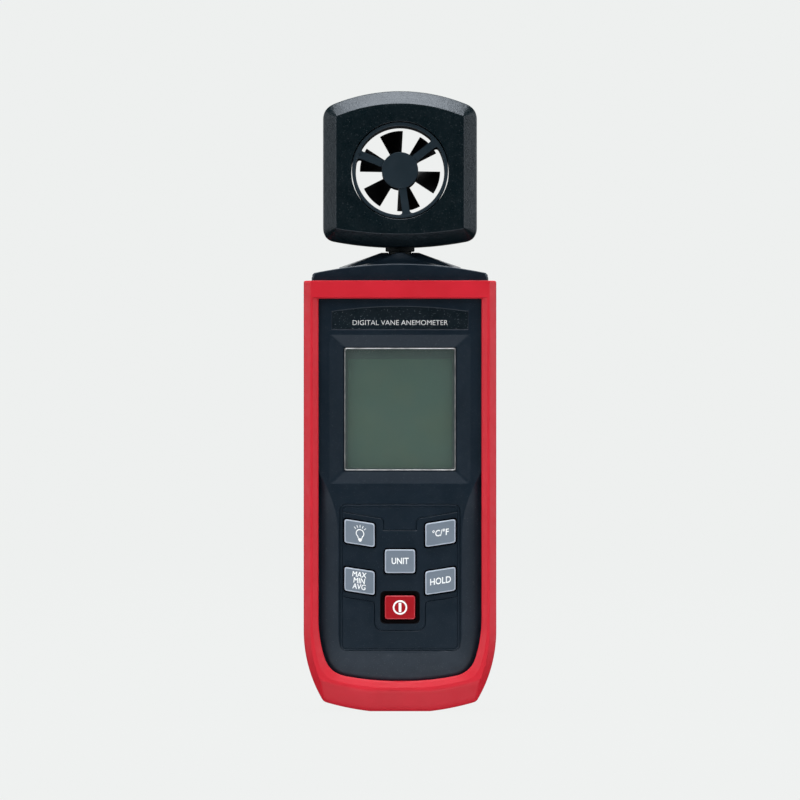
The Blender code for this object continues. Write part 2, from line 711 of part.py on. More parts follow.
def make_power():
    """Three cells side by side, the middle one upside down, with a spring and a leaf for each."""
    for i, x in enumerate(CELL_XS):
        up = 1 if i != 1 else -1
        start = BAY_LOW + CELL_END_ROOM if up > 0 else BAY_HIGH - CELL_END_ROOM
        profile = [(0.02, 0), (CELL_RADIUS - 0.4, 0), (CELL_RADIUS, 0.4)]
        profile += [(CELL_RADIUS, CELL_LENGTH - 0.5), (CELL_RADIUS - 0.5, CELL_LENGTH)]
        profile += [(1.9, CELL_LENGTH), (1.9, CELL_LENGTH + CELL_NUB), (0.02, CELL_LENGTH + CELL_NUB)]
        profile = [(r, up * along) for r, along in profile]
        cell = turned(f"battery_cell_{i + 1}", profile, (x, CELL_Y, start), "Z", 20)
        paint("cell_jacket", cell)
        spring_z = BAY_LOW + 0.45 if up > 0 else BAY_HIGH - 0.45
        turns, steps = 3.0, 12
        coil = [
            (
                x + (3.1 - 1.0 * k / (turns * steps)) * cos(2 * pi * k / steps),
                CELL_Y + (3.1 - 1.0 * k / (turns * steps)) * sin(2 * pi * k / steps),
                spring_z + up * 1.45 * k / (turns * steps),
            )
            for k in range(int(turns * steps) + 1)
        ]
        paint("steel", tube_along(f"battery_spring_{i + 1}", coil, 0.2, 0))
        leaf_z = BAY_HIGH - 0.7 if up > 0 else BAY_LOW + 0.4
        leaf = box(
            f"battery_leaf_{i + 1}",
            (x - 3.4, CELL_Y - 3.4, leaf_z),
            (x + 3.4, CELL_Y + 3.4, leaf_z + 0.3),
        )
        paint("brass", leaf)


def make_fixings():
    for i, (x, z) in enumerate(CASE_SCREWS):
        screw(f"case_screw_{i + 1}", x, z, CASE_BACK - CASE_SCREW_SINK + GAP, *CASE_SCREW_SIZE)
    for i, (x, z) in enumerate(HEAD_SCREWS):
        screw(f"head_screw_{i + 1}", x, z, HEAD_DEPTH - HEAD_SCREW_SINK + GAP, *HEAD_SCREW_SIZE)
    label = outline_solid(
        "rating_label", rectangle(*LABEL_SIZE, 1.5), CASE_BACK - 0.4, CASE_BACK - 0.1
    )
    paint("label_film", label)


# ---------------------------------------------------------------- head and vane


def head_shell(name, side):
    """One half of the vane head; side is -1 for the front and 1 for the back."""
    shell = outline_solid(name, head_outline(), *sorted((-side * 4.0, side * HEAD_DEPTH)))
    bevel(shell, HEAD_BEVEL, angle=60)
    settle(shell)
    parting = sorted((side * PARTING, -side * 30))
    cut(shell, half_space(name + "_parting", *parting))
    for inset, reach in ((HEAD_WALL, 6.0), (HEAD_BEVEL + 1.6, HEAD_DEPTH - HEAD_WALL)):
        room = outline_solid(name + "_room", head_outline(inset), *sorted((-side, side * reach)))
        cut(shell, room)
    start = sorted((side * 0.4, side * 9.4))[0]
    join(shell, cylinder(name + "_collar", (0, start, BORE_Z), "Y", HEAD_HOLE + 1.5, 9.0, 40))
    cut(shell, cylinder(name + "_hole", (0, -15, BORE_Z), "Y", HEAD_HOLE, 30, 48))
    for x, z in HEAD_SCREWS:
        start = sorted((side * 0.6, side * 9.6))[0]
        join(shell, cylinder(name + "_boss", (x, start, z), "Y", 3.2, 9.0, 16))
        bore = 1.2 if side < 0 else 1.35
        start = sorted((side * -0.5, side * (8.0 if side < 0 else 12.0)))[0]
        reach = 8.5 if side < 0 else 12.5
        cut(shell, cylinder(name + "_screw_hole", (x, start, z), "Y", bore, reach, 12))
        if side > 0:
            cut(shell, cylinder("head_screw_room", (x, HEAD_DEPTH - HEAD_SCREW_SINK, z), "Y", 2.2, 4, 16))
    cut(shell, cylinder(name + "_neck_hole", (0, 0, HEAD_BOTTOM - 3), "Z", NECK_RADIUS + GAP, 6, 24))
    paint("case_plastic", shell)


def neck_ring(name, inside, outside, low, high):
    """A flat ring round the neck's axis, between two heights."""
    profile = [(inside, low), (outside, low), (outside, high), (inside, high)]
    return turned(name, profile, (0, 0, 0), "Z", 20)


def make_stem():
    """The hollow stem: its flange is held in the head, its journal turns in the neck of the case."""
    profile = [
        (2.2, 134.6),
        (3.7, 134.6),
        (3.7, 135.8),
        (3.0, 135.8),
        (3.0, 137.0),
        (3.7, 137.0),
        (3.7, NECK_TOP + GAP),
        (NECK_RADIUS, NECK_TOP + GAP),
        (NECK_RADIUS, 151.9),
        (5.6, 151.9),
        (5.6, 153.4),
        (2.2, 153.4),
    ]
    stem = turned("swivel_stem", profile, (0, 0, 0), "Z", 24)
    paint("case_plastic", stem)
    clip = neck_ring("stem_clip", 3.3, 5.6, 136.1, 136.7)
    cut(clip, box("clip_mouth", (-2.0, -8, 135), (2.0, 0, 138)))
    paint("steel", clip)
    paint("silicone", neck_ring("friction_washer", 4.1, 6.2, 137.2, 138.4))


def make_spider(name, side):
    """Ring, hub and three spokes that hold one of the vane's bearings."""
    face, back = side * SPIDER_FACE, side * SPIDER_BACK
    low, high = sorted((face, back))
    spider = ring(name, BORE_RADIUS, DUCT_OUTSIDE, low, high)
    hub_low, hub_high = sorted((side * 10.8, side * 7.2))
    join(spider, cylinder(name + "_hub", (0, hub_low, BORE_Z), "Y", HUB_CAP_RADIUS, hub_high - hub_low, 32))
    for angle in SPOKE_ANGLES:
        inner_end = (4, low + 0.2, -SPOKE_HALF_WIDTH)
        spoke = box(name + "_spoke", inner_end, (BORE_RADIUS + 0.6, high - 0.3, SPOKE_HALF_WIDTH))
        turn = Matrix.Translation((0, 0, BORE_Z * MM)) @ Matrix.Rotation(-radians(angle), 4, "Y")
        spoke.data.transform(turn)
        join(spider, spoke)
    bearing_room = sorted((side * 6.0, side * 9.4))
    start = (0, bearing_room[0], BORE_Z)
    cut(spider, cylinder(name + "_pocket", start, "Y", 1.5, bearing_room[1] - bearing_room[0], 16))
    if side > 0:  # the pick-up looks at the magnet in the impeller's hub
        cut(spider, box("hall_pocket", (-1.8, 6.0, BORE_Z - 5.0), (1.8, 9.3, BORE_Z - 2.2)))
    paint("spider_plastic", spider)
    where = "front_bearing" if side < 0 else "rear_bearing"
    reach = sorted((side * 7.3, side * 9.1))
    jewel = turned(
        where,
        [(0.75, 0), (1.2, 0), (1.2, 1.8), (0.75, 1.8)],
        (0, reach[0], BORE_Z),
        "Y",
        16,
    )
    paint("jewel", jewel)


def make_duct():
    duct = ring("vane_duct", BORE_RADIUS, DUCT_OUTSIDE, -8.4, 8.4)
    paint("vane_plastic", duct)


def blade(angle):
    """One helical blade, between its root inside the hub and its tip."""
    bm = bmesh.new()
    bmesh.ops.create_grid(bm, x_segments=3, y_segments=5, size=0.5)
    root, sweep = HUB_RADIUS - 0.7, radians(BLADE_SWEEP)
    for vertex in bm.verts:
        radius = root + (TIP_RADIUS - root) * (vertex.co.x + 0.5)
        turn = radians(angle) + sweep * vertex.co.y
        place = (radius * cos(turn), BLADE_DEPTH * vertex.co.y, BORE_Z + radius * sin(turn))
        vertex.co = Vector(place) * MM
    obj = from_bmesh("blade", bm)
    solidify = obj.modifiers.new("thickness", "SOLIDIFY")
    solidify.thickness = 0.6 * MM
    solidify.offset = 0
    return obj


def make_vane():
    profile = [(0.6, -3.7), (4.6, -3.7), (HUB_RADIUS, -3.2), (HUB_RADIUS, 3.2), (4.6, 3.7), (0.6, 3.7)]
    vane = turned("impeller", profile, (0, 0, BORE_Z), "Y", 32)
    for i in range(BLADE_COUNT):
        join(vane, blade(BLADE_PHASE + 60 * i))
    magnet_room = turned("magnet_room", [(1.9, 0), (3.6, 0), (3.6, 3), (1.9, 3)], (0, 2.2, BORE_Z), "Y", 24)
    cut(vane, magnet_room)
    paint("vane_plastic", vane)
    profile = [(2.05, 0), (3.45, 0), (3.45, 1.1), (2.05, 1.1)]
    paint("chip", turned("hub_magnet", profile, (0, 2.5, BORE_Z), "Y", 24))
    paint("steel", cylinder("vane_shaft", (0, -8.6, BORE_Z), "Y", 0.45, 17.2, 12))


def make_sensor():
    """The pick-up in the rear hub, its board under the duct, and the bead that reads the warmth."""
    board = box("sensor_board", (-9.5, -3.2, 154.6), (9.5, 3.2, 155.6))
    paint("circuit_board", board)
    pickup = box("hall_sensor", (-1.5, 7.5, BORE_Z - 4.7), (1.5, 9.0, BORE_Z - 2.5))
    paint("chip", pickup)
    bead = cylinder("temperature_sensor", (12.4, -1.0, 157.0), "Z", 0.9, 3.0, 12)
    paint("jewel", bead)
    rise = [(9.0, -1.7, 128.0), (8.8, -1.6, 128.8), (7.8, -1.2, 130.3), (5.4, -0.7, 131.4)]
    rise += [(2.4, -0.2, 132.0), (0.6, 0.0, 132.8), (0.0, 0.0, 134.0), (0.0, 0.0, 154.2)]
    paint("cable_jacket", tube_along("sensor_cable", rise, 1.1))


# ---------------------------------------------------------------- joints: empties on the axes


def joint_empty(name, place, parent=None):
    empty = bpy.data.objects.new(name, None)
    empty.empty_display_size = 5 * MM
    parts.objects.link(empty)
    empty.location = Vector(place) * MM
    if parent:
        empty.parent = parent
        empty.location -= parent.matrix_world.translation
    bpy.context.view_layer.update()
    return empty


def hang(empty, *names):
    for name in names:
        obj = parts.objects[name]
        obj.parent = empty
        obj.matrix_parent_inverse = empty.matrix_world.inverted()


def rig():
    head = joint_empty("head_swivel_axis", (0, 0, NECK_TOP))
    head_parts = ["head_front_shell", "head_rear_shell", "swivel_stem", "stem_clip", "vane_duct"]
    head_parts += ["front_spider", "rear_spider", "front_bearing", "rear_bearing", "sensor_board"]
    head_parts += ["hall_sensor", "temperature_sensor"]
    head_parts += [f"head_screw_{i + 1}" for i in range(len(HEAD_SCREWS))]
    hang(head, *head_parts)
    vane = joint_empty("vane_axis", (0, 0, BORE_Z), head)
    hang(vane, "impeller", "hub_magnet", "vane_shaft")
    door = joint_empty("battery_door_axis", (0, CASE_BACK, DOOR_LOW))
    hang(door, "battery_door", "battery_door_pad")
    for name, (x, z, _, _) in KEYS.items():
        hang(joint_empty(name + "_axis", (x, CASE_FRONT, z)), name)


def shade():
    for obj in parts.objects:
        if obj.type == "MESH":
            obj.data.shade_smooth()
            obj.data.set_sharp_from_angle(angle=radians(35))


clear_scene()
parts = new_collection("vane_anemometer")
cutters = new_collection("cutters")
materials = {name: new_material(name, values) for name, values in COLOURS.items()}
make_boot()
make_front_case()
make_rear_case()
make_battery_door()
make_display()
make_keys()
make_board()
make_power()
make_fixings()
head_shell("head_front_shell", -1)
head_shell("head_rear_shell", 1)
make_stem()
make_spider("front_spider", -1)
make_spider("rear_spider", 1)
make_duct()
make_vane()
make_sensor()
rig()
shade()
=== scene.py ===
"""Vane anemometer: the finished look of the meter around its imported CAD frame.

Blender 4.5. Lengths are millimetres in the frame's axes (+Z up, the display faces -Y), and MM turns
them into metres where a mesh is made. The studio's floor, lights and camera are in metres.
"""

import json
from math import asin, atan2, cos, pi, radians, sin, sqrt

import bmesh
import bpy
from mathutils import Matrix, Vector


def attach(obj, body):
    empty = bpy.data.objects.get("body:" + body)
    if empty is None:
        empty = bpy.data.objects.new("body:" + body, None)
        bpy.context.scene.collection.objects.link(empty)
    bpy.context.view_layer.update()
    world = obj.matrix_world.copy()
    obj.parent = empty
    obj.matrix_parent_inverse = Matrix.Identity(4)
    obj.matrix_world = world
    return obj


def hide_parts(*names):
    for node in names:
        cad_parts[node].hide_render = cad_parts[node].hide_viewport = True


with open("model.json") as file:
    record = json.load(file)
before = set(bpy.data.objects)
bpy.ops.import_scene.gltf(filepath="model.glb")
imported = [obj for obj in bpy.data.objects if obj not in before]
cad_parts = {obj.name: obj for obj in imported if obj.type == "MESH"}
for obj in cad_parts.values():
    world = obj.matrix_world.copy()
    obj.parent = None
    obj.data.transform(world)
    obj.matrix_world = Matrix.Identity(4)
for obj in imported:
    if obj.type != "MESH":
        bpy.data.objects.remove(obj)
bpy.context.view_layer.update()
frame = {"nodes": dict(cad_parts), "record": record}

MM = 0.001
GAP = 0.3  # clearance between neighbouring pieces, as in the CAD

BOOT_HALF_WIDTH = 31.0
BOOT_TOP = 138.7
BOOT_FRONT, BOOT_BACK = -16.0, 16.0
BOOT_SIDE_RADIUS, BOOT_FOOT_RADIUS = 44.2, 84.0
BOOT_FRONT_WINDOW = (26.2, 132.9)  # half width and top, where the boot meets the case
BOOT_LIP = (28.55, 133.4)  # half width and top of the same opening at the boot's face
BOOT_BACK_WINDOW = (20.2, 14.0, 127.0)  # half width, low and high
FOOT_HALF_WIDTH = 9.6
TAPER_START_Z = 26.0  # below this the sides of the boot and the case curve inwards
CASE_HALF_WIDTH = 28.4
CASE_FRONT, CASE_BACK = -13.5, 13.5
CASE_TOP = 144.1
CASE_BOTTOM = 3.0
CASE_WALL = 1.8
CASE_SIDE_RADIUS, CASE_FOOT_RADIUS = 44.0, 110.0
CASE_SHOULDER_Z = 139.6  # where the side of the case meets its crown
ARCH_RADIUS = 131.6
NECK_TOP = 148.0
NECK_RADIUS = 4.7
NECK_BORE_RADIUS = 3.95
FLARE_REACH = 12.2  # how far in front of the parting the flare round the neck starts
RIDGE_START, RIDGE_SLOPE, RIDGE_DEPTH = 6.0, 0.352, 4.2
BELL_WIDTH, BELL_END, BELL_GAIN, BELL_FALL = 6.2, 18.0, 1.12, 4.6
SADDLE_FOOT = 141.2  # inside the case, below the arch
PARTING = 0.03  # half the gap between the halves; their rounded edges make the line that shows

HEAD_HALF_WIDTH = 24.8
HEAD_DEPTH = 11.0
HEAD_TOP = 200.0
HEAD_BOTTOM = 149.6
HEAD_BEVEL = 4.2
BORE_Z = 174.3
BORE_RADIUS = 14.35
DUCT_OUTSIDE = 15.5
HEAD_HOLE = 15.8
HUB_CAP_RADIUS = 5.87
SPOKE_ANGLES = [38.3, 158.3, 278.3]
SPOKE_HALF_WIDTH = 1.2
SPIDER_BACK, SPIDER_FACE = 8.7, 10.7  # distances from the middle of the head
DUCT_END = 8.4
BLADE_COUNT = 6
BLADE_PHASE = 43.0
BLADE_SWEEP = 36.0
BLADE_DEPTH = 6.6
TIP_RADIUS = 13.0
HUB_RADIUS = 5.2

WINDOW_Z = 97.35
WINDOW_HALF_WIDTH = 35.9 / 2
WINDOW_LOW, WINDOW_HIGH = WINDOW_Z - 39.5 / 2, WINDOW_Z + 39.5 / 2
WINDOW_LEVELS = ((0.0, -11.2), (0.0, -12.05), (0.12, -12.3), (0.35, -12.4))  # (inset, y)
BEZEL = ((24.6, 25.6, -0.47), (18.25, 20.05, 1.1))  # (half width, half height, depth)
LCD_FRONT, LCD_BACK = -10.1, -8.1
PANEL_HALF_WIDTH, PANEL_LOW, PANEL_HIGH = 21.8, 123.1, 130.3  # the name panel
PANEL_DEPTH = 0.28
BAY_HALF_WIDTH = 17.6
BAY_LOW, BAY_HIGH = 20.5, 68.5
CELL_RADIUS, CELL_Y = 5.1, 6.0
CELL_XS = (-11.5, 0.0, 11.5)
CELL_LENGTH, CELL_NUB = 43.0, 1.2
CELL_END_ROOM, SPRING_END_ROOM = 2.6, 0.45
DOOR_HALF_WIDTH = 19.1
DOOR_LOW, DOOR_HIGH = 19.0, 70.5
DOOR_FRONT = 12.2
HOOK_XS = (-9.0, 9.0)
LABEL = (17.0, 84.3, 118.3)  # half width, low and high of the label on the back
TYPE_NAME = "DIGITAL VANE ANEMOMETER"

KEY_SIZE = (9.75, 7.6)
KEY_SLANT = 0.155
KEY_FACE = CASE_FRONT - 1.0
KEY_FLANGE = -11.2
KEYS = {  # CAD node: (centre x, centre z, slant, body)
    "key_light": (-13.0, 57.5, -1, "light_button"),
    "key_temperature_unit": (13.0, 57.5, 1, "temperature_unit_button"),
    "key_speed_unit": (0.0, 48.45, 0, "speed_unit_button"),
    "key_max_min_avg": (-13.0, 42.1, -1, "max_min_avg_button"),
    "key_hold": (13.0, 42.1, 1, "hold_button"),
    "key_power": (0.0, 33.6, 0, "power_button"),
}
GUARD = (6.1, 5.0)  # half width and half height of the power key's recess
GROOVE_WIDTH, GROOVE_DEPTH, GROOVE_LEAN = 0.62, 0.30, 0.22
CASE_SCREWS = [(x, z) for z in (40.0, 127.5) for x in (-23.0, 23.0)]
HEAD_SCREWS = [(x, z) for z in (158.3, 189.0) for x in (-18.2, 18.2)]
BOARD_SCREWS = [(x, z) for z in (71.0, 127.0) for x in (-16.5, 16.5)]
CASE_SCREW_SINK, HEAD_SCREW_SINK = 2.6, 1.9
BOARD_FRONT = -3.7  # where the heads of the board's screws rest
CAMERA_DISTANCE, CAMERA_HEIGHT, CAMERA_LENS = 2.1, 0.1003, 291.9  # metres, metres, mm


# ---------------------------------------------------------------- mesh helpers


def finished(name, bm):
    """A new object from a bmesh whose points are in place, in metres."""
    bmesh.ops.recalc_face_normals(bm, faces=bm.faces[:])
    mesh = bpy.data.meshes.new(name)
    bm.to_mesh(mesh)
    bm.free()
    obj = bpy.data.objects.new(name, mesh)
    bpy.context.scene.collection.objects.link(obj)
    return obj


def loft(name, rings):
    """A closed solid through rings of (x, y, z) points, capped at both ends."""
    bm = bmesh.new()
    rows = [[bm.verts.new(Vector(p) * MM) for p in points] for points in rings]
    for low, high in zip(rows, rows[1:]):
        for i in range(len(low)):
            j = (i + 1) % len(low)
            bm.faces.new((low[i], low[j], high[j], high[i]))
    bm.faces.new(rows[0][::-1])
    bm.faces.new(rows[-1])
    return finished(name, bm)


def at(outline, y):
    return [(x, y, z) for x, z in outline]


def prism(name, outline, y_front, y_back):
    return loft(name, [at(outline, y_front), at(outline, y_back)])


def stack(name, outline, levels):
    """A loft through outline(inset) at each (inset, y) level."""
    return loft(name, [at(outline(inset), y) for inset, y in levels])


def box(name, low, high):
    corners = [(low[0], low[2]), (high[0], low[2]), (high[0], high[2]), (low[0], high[2])]
    return prism(name, corners, low[1], high[1])


TO_AXIS = {
    "X": Matrix.Rotation(pi / 2, 4, "Y"),
    "Y": Matrix.Rotation(-pi / 2, 4, "X"),
    "Z": Matrix.Identity(4),
}


def turned(name, profile, start, axis, sides=64):
    """A closed profile of (radius, distance along axis) points turned about the axis."""
    bm = bmesh.new()
    place = Matrix.Translation(Vector(start) * MM) @ TO_AXIS[axis]
    rows = []
    for radius, along in profile:
        row = []
        for i in range(sides if radius > 1e-6 else 1):
            angle = 2 * pi * i / sides
            point = Vector((radius * cos(angle), radius * sin(angle), along)) * MM
            row.append(bm.verts.new(place @ point))
        rows.append(row)
    for a, b in zip(rows, rows[1:] + rows[:1]):
        if len(a) == 1 and len(b) == 1:
            continue
        for i in range(sides):
            j = (i + 1) % sides
            if len(a) == 1:
                bm.faces.new((a[0], b[j], b[i]))
            elif len(b) == 1:
                bm.faces.new((a[i], a[j], b[0]))
            else:
                bm.faces.new((a[i], a[j], b[j], b[i]))
    return finished(name, bm)


def cylinder(name, start, axis, radius, length, sides=32, end_radius=None):
    end = radius if end_radius is None else end_radius
    profile = [(0, 0), (radius, 0), (end, length), (0, length)]
    return turned(name, profile, start, axis, sides)


def tube_along(name, points, radius, sides=10):
    """A round wire through the points, with a frame carried along it, and closed ends."""
    path = [Vector(p) for p in points]
    turns = [2 * pi * k / sides for k in range(sides)]
    rows, normal = [], None
    for i, here in enumerate(path):
        ahead = path[min(i + 1, len(path) - 1)] - path[max(i - 1, 0)]
        ahead.normalize()
        if normal is None:
            normal = ahead.orthogonal().normalized()
        normal = (normal - ahead * normal.dot(ahead)).normalized()
        other = ahead.cross(normal)
        rows.append([tuple(here + (normal * cos(a) + other * sin(a)) * radius) for a in turns])
    return loft(name, rows)


def settle(obj):
    """Replaces the object's mesh by what its modifiers make."""
    graph = bpy.context.evaluated_depsgraph_get()
    made = bpy.data.meshes.new_from_object(obj.evaluated_get(graph))
    obj.modifiers.clear()
    obj.data = made


def boolean(target, operation, others):
    for other in others:
        modifier = target.modifiers.new(operation, "BOOLEAN")
        modifier.operation = operation
        modifier.solver = "MANIFOLD"
        modifier.object = other
    settle(target)
    for other in others:
        bpy.data.objects.remove(other)
    return target


def cut(target, *others):
    return boolean(target, "DIFFERENCE", others)


def join(target, *others):
    return boolean(target, "UNION", others)


# ---------------------------------------------------------------- outlines, as (x, z) points


def curve(near, corner, far, steps):
    """The points of a quadratic curve from near to far that leans towards the corner."""
    shares = [i / steps for i in range(steps + 1)]
    return [tuple(near * (1 - t) ** 2 + corner * 2 * t * (1 - t) + far * t**2) for t in shares]


def rounded(corners, radius, steps=6):
    made = []
    for i, corner in enumerate(corners):
        here = Vector(corner)
        before = here + (Vector(corners[i - 1]) - here).normalized() * radius
        after = here + (Vector(corners[(i + 1) % len(corners)]) - here).normalized() * radius
        made += curve(before, here, after, steps)
    return made


def rectangle(half_width, low, high, radius, steps=6, centre=0.0):
    left, right = centre - half_width, centre + half_width
    return rounded([(left, low), (right, low), (right, high), (left, high)], radius, steps)


def mirrored(half):
    """Both sides of an outline from its +X half, which runs from top centre to bottom centre."""
    return half + [(-x, z) for x, z in reversed(half) if abs(x) > 1e-6]


def arch(x):
    return CASE_TOP - x * x / (2 * ARCH_RADIUS)


def lower_half(width, side_radius, bottom_z, bottom_radius, corner, flat=0.0, side_z=TAPER_START_Z):
    """The side, the corner and the foot of a tapering outline, whose foot is level out to flat."""
    steps = 20

    def side(t):
        return Vector((width - side_radius * (1 - cos(t)), side_z - side_radius * sin(t)))

    def foot_height(x):
        return bottom_z + bottom_radius - sqrt(bottom_radius**2 - max(x * x - flat * flat, 0.0))

    low, high = 0.0, pi / 2
    for _ in range(40):
        t = (low + high) / 2
        if side(t).y > foot_height(side(t).x):
            low = t
        else:
            high = t
    meet = side(low)
    last = low - corner / side_radius
    points = [tuple(side(last * i / steps)) for i in range(steps + 1)]
    end = Vector((meet.x - corner, foot_height(meet.x - corner)))
    points += curve(Vector(points[-1]), meet, end, 8)[1:-1]
    arc_steps = steps - 1 if flat else steps
    for i in range(arc_steps + 1):
        x = end.x + (flat - end.x) * i / arc_steps
        points.append((x, foot_height(x)))
    if flat:
        points.append((0.0, bottom_z))
    return points


def case_outline(inset=0.0, top=None, foot_rise=0.0):
    width, steps = CASE_HALF_WIDTH - inset, 20
    if top is None:
        ease = max(0.7 - inset, 0.3)
        edge = width - ease
        crown = [(edge * i / steps, arch(edge * i / steps) - inset) for i in range(steps + 1)]
        near, corner = Vector(crown[-1]), Vector((width, crown[-1][1]))
        crown += curve(near, corner, corner - Vector((0, ease)), 5)[1:]
    else:
        crown = [(0.0, top), (width, top)]
    foot = CASE_BOTTOM + inset + foot_rise
    side_radius = CASE_SIDE_RADIUS - inset
    return mirrored(crown + lower_half(width, side_radius, foot, CASE_FOOT_RADIUS, 3.0))


def boot_outline(inset=0.0, foot_rise=0.0, top=BOOT_TOP):
    width, ease = BOOT_HALF_WIDTH - inset, 0.7
    near, corner, far = (width - ease, top), (width, top), (width, top - ease)
    crown = [(0.0, top)] + curve(Vector(near), Vector(corner), Vector(far), 4)
    lower = lower_half(width, BOOT_SIDE_RADIUS, foot_rise, BOOT_FOOT_RADIUS, 1.0, FOOT_HALF_WIDTH)
    return mirrored(crown + lower)


def head_outline(inset=0.0):
    width, steps = HEAD_HALF_WIDTH - inset, 20
    top_radius, foot_radius = 57.0 - inset, 115.0 + inset
    ease = max(3.4 * (1 - inset / (HEAD_BEVEL + 0.4)), 0.25)

    def top(x):
        return HEAD_TOP - inset - top_radius + sqrt(top_radius**2 - x * x)

    def foot(x):
        return HEAD_BOTTOM + inset + foot_radius - sqrt(foot_radius**2 - x * x)

    edge = width - ease
    half = [(edge * i / steps, top(edge * i / steps)) for i in range(steps)]
    for height, sign in ((top, -1), (foot, 1)):
        near, corner = Vector((edge, height(edge))), Vector((width, height(width)))
        rounding = curve(near, corner, corner + Vector((0, sign * ease)), 8)
        half += rounding if sign < 0 else rounding[::-1]
    half += [(edge * (1 - i / steps), foot(edge * (1 - i / steps))) for i in range(1, steps + 1)]
    return mirrored(half)


def window_outline(inset, radius=0.8):
    return rectangle(WINDOW_HALF_WIDTH - inset, WINDOW_LOW + inset, WINDOW_HIGH - inset, radius)


def key_outline(x, z, slant, outset=0.0, radius=0.9):
    half_width, half_height = KEY_SIZE[0] / 2 + outset, KEY_SIZE[1] / 2 + outset
    drop = slant * KEY_SLANT * half_width
    corners = [
        (x - half_width, z - half_height - drop),
        (x + half_width, z - half_height + drop),
        (x + half_width, z + half_height + drop),
        (x - half_width, z + half_height - drop),
    ]
    return rounded(corners, max(radius + outset * 0.6, 0.25), 6)


# ---------------------------------------------------------------- materials


class Shading:
    """Builds one node material: a Principled shader with procedural colour, roughness and bump."""

    def __init__(self, name):
        self.material = bpy.data.materials.new(name)
        self.material.use_nodes = True
        self.nodes = self.material.node_tree.nodes
        self.links = self.material.node_tree.links
        self.shader = self.nodes["Principled BSDF"]
        self.coordinates = self.nodes.new("ShaderNodeTexCoord").outputs["Object"]

    def set(self, **values):
        for socket, value in values.items():
            self.shader.inputs[socket.replace("_", " ")].default_value = value
        return self

    def noise(self, size, detail=2.0, stretch=None):
        """A noise whose grains are about size millimetres across."""
        place = self.coordinates
        if stretch:
            mapping = self.nodes.new("ShaderNodeMapping")
            mapping.inputs["Scale"].default_value = stretch
            self.links.new(place, mapping.inputs["Vector"])
            place = mapping.outputs["Vector"]
        node = self.nodes.new("ShaderNodeTexNoise")
        node.inputs["Scale"].default_value = 1 / (size * MM)
        node.inputs["Detail"].default_value = detail
        self.links.new(place, node.inputs["Vector"])
        return node.outputs["Fac"]

    def ramp(self, value, stops):
        """A colour ramp; stops are (position, (r, g, b)) or (position, grey)."""
        node = self.nodes.new("ShaderNodeValToRGB")
        while len(node.color_ramp.elements) < len(stops):
            node.color_ramp.elements.new(0.5)
        for element, (position, colour) in zip(node.color_ramp.elements, stops):
            element.position = position
            if not isinstance(colour, tuple):
                colour = (colour, colour, colour)
            element.color = (*colour, 1)
        self.links.new(value, node.inputs["Fac"])
        return node.outputs["Color"]

    def mix(self, factor, first, second, blend="MIX"):
        node = self.nodes.new("ShaderNodeMix")
        node.data_type = "RGBA"
        node.blend_type = blend
        for socket, value in (("Factor", factor), ("A", first), ("B", second)):
            slot = [s for s in node.inputs if s.name == socket and s.enabled][0]
            if isinstance(value, (int, float, tuple)):
                slot.default_value = (*value, 1) if isinstance(value, tuple) else value
            else:
                self.links.new(value, slot)
        return [s for s in node.outputs if s.enabled][0]

    def to(self, value, socket):
        self.links.new(value, self.shader.inputs[socket])

    def bump(self, layers):
        """layers are (height, depth in millimetres) pairs."""
        normal = None
        for height, depth in layers:
            node = self.nodes.new("ShaderNodeBump")
            node.inputs["Strength"].default_value = 1.0
            node.inputs["Distance"].default_value = depth * MM
            self.links.new(height, node.inputs["Height"])
            if normal:
                self.links.new(normal, node.inputs["Normal"])
            normal = node.outputs["Normal"]
        self.links.new(normal, self.shader.inputs["Normal"])


def moulded(name, dark, light, roughness, grain, depth, speckle=0.0, **extra):
    """Moulded plastic: slow mottling, a fine spark-eroded grain, and a few pale specks that are
    painted glints of the grain.
    """
    made = Shading(name)
    mottle = made.ramp(made.noise(9.0, 3), [(0.3, dark), (0.7, light)])
    # The pale specks mixed into the colour are painted glints of the grained surface.
    if speckle:
        specks = made.ramp(made.noise(0.32, 0), [(0.735, 0.0), (0.78, speckle)])
        mottle = made.mix(specks, mottle, (0.42, 0.46, 0.50))
    made.to(mottle, "Base Color")
    low, high = roughness
    made.to(made.ramp(made.noise(2.5, 3), [(0.3, low), (0.7, high)]), "Roughness")
    made.bump([(made.noise(grain, 2), depth), (made.noise(grain * 6, 2), depth * 1.2)])
    made.set(**extra)
    return made.material


def metal(name, colour, roughness, brushed=None):
    made = Shading(name).set(Metallic=1.0)
    tone = tuple(c * 0.8 for c in colour)
    made.to(made.ramp(made.noise(1.2, 3, brushed), [(0.3, tone), (0.7, colour)]), "Base Color")
    rough = [(0.3, roughness), (0.7, roughness + 0.15)]
    made.to(made.ramp(made.noise(0.4, 2, brushed), rough), "Roughness")
    made.bump([(made.noise(0.25, 2, brushed), 0.004)])
    return made.material


def drifting(name, size, detail, stops, **values):
    """A smooth material whose colour drifts between the stops of a ramp."""
    made = Shading(name).set(**values)
    made.to(made.ramp(made.noise(size, detail), stops), "Base Color")
    return made.material


def board_material():
    """Green lacquer over tracks that run up and down."""
    made = Shading("circuit_board").set(Roughness=0.4)
    tracks = made.noise(1.1, 0, (1, 1, 0.25))
    greens = [(0.48, (0.012, 0.10, 0.035)), (0.52, (0.02, 0.17, 0.06))]
    made.to(made.ramp(tracks, greens), "Base Color")
    made.bump([(tracks, 0.02)])
    return made.material


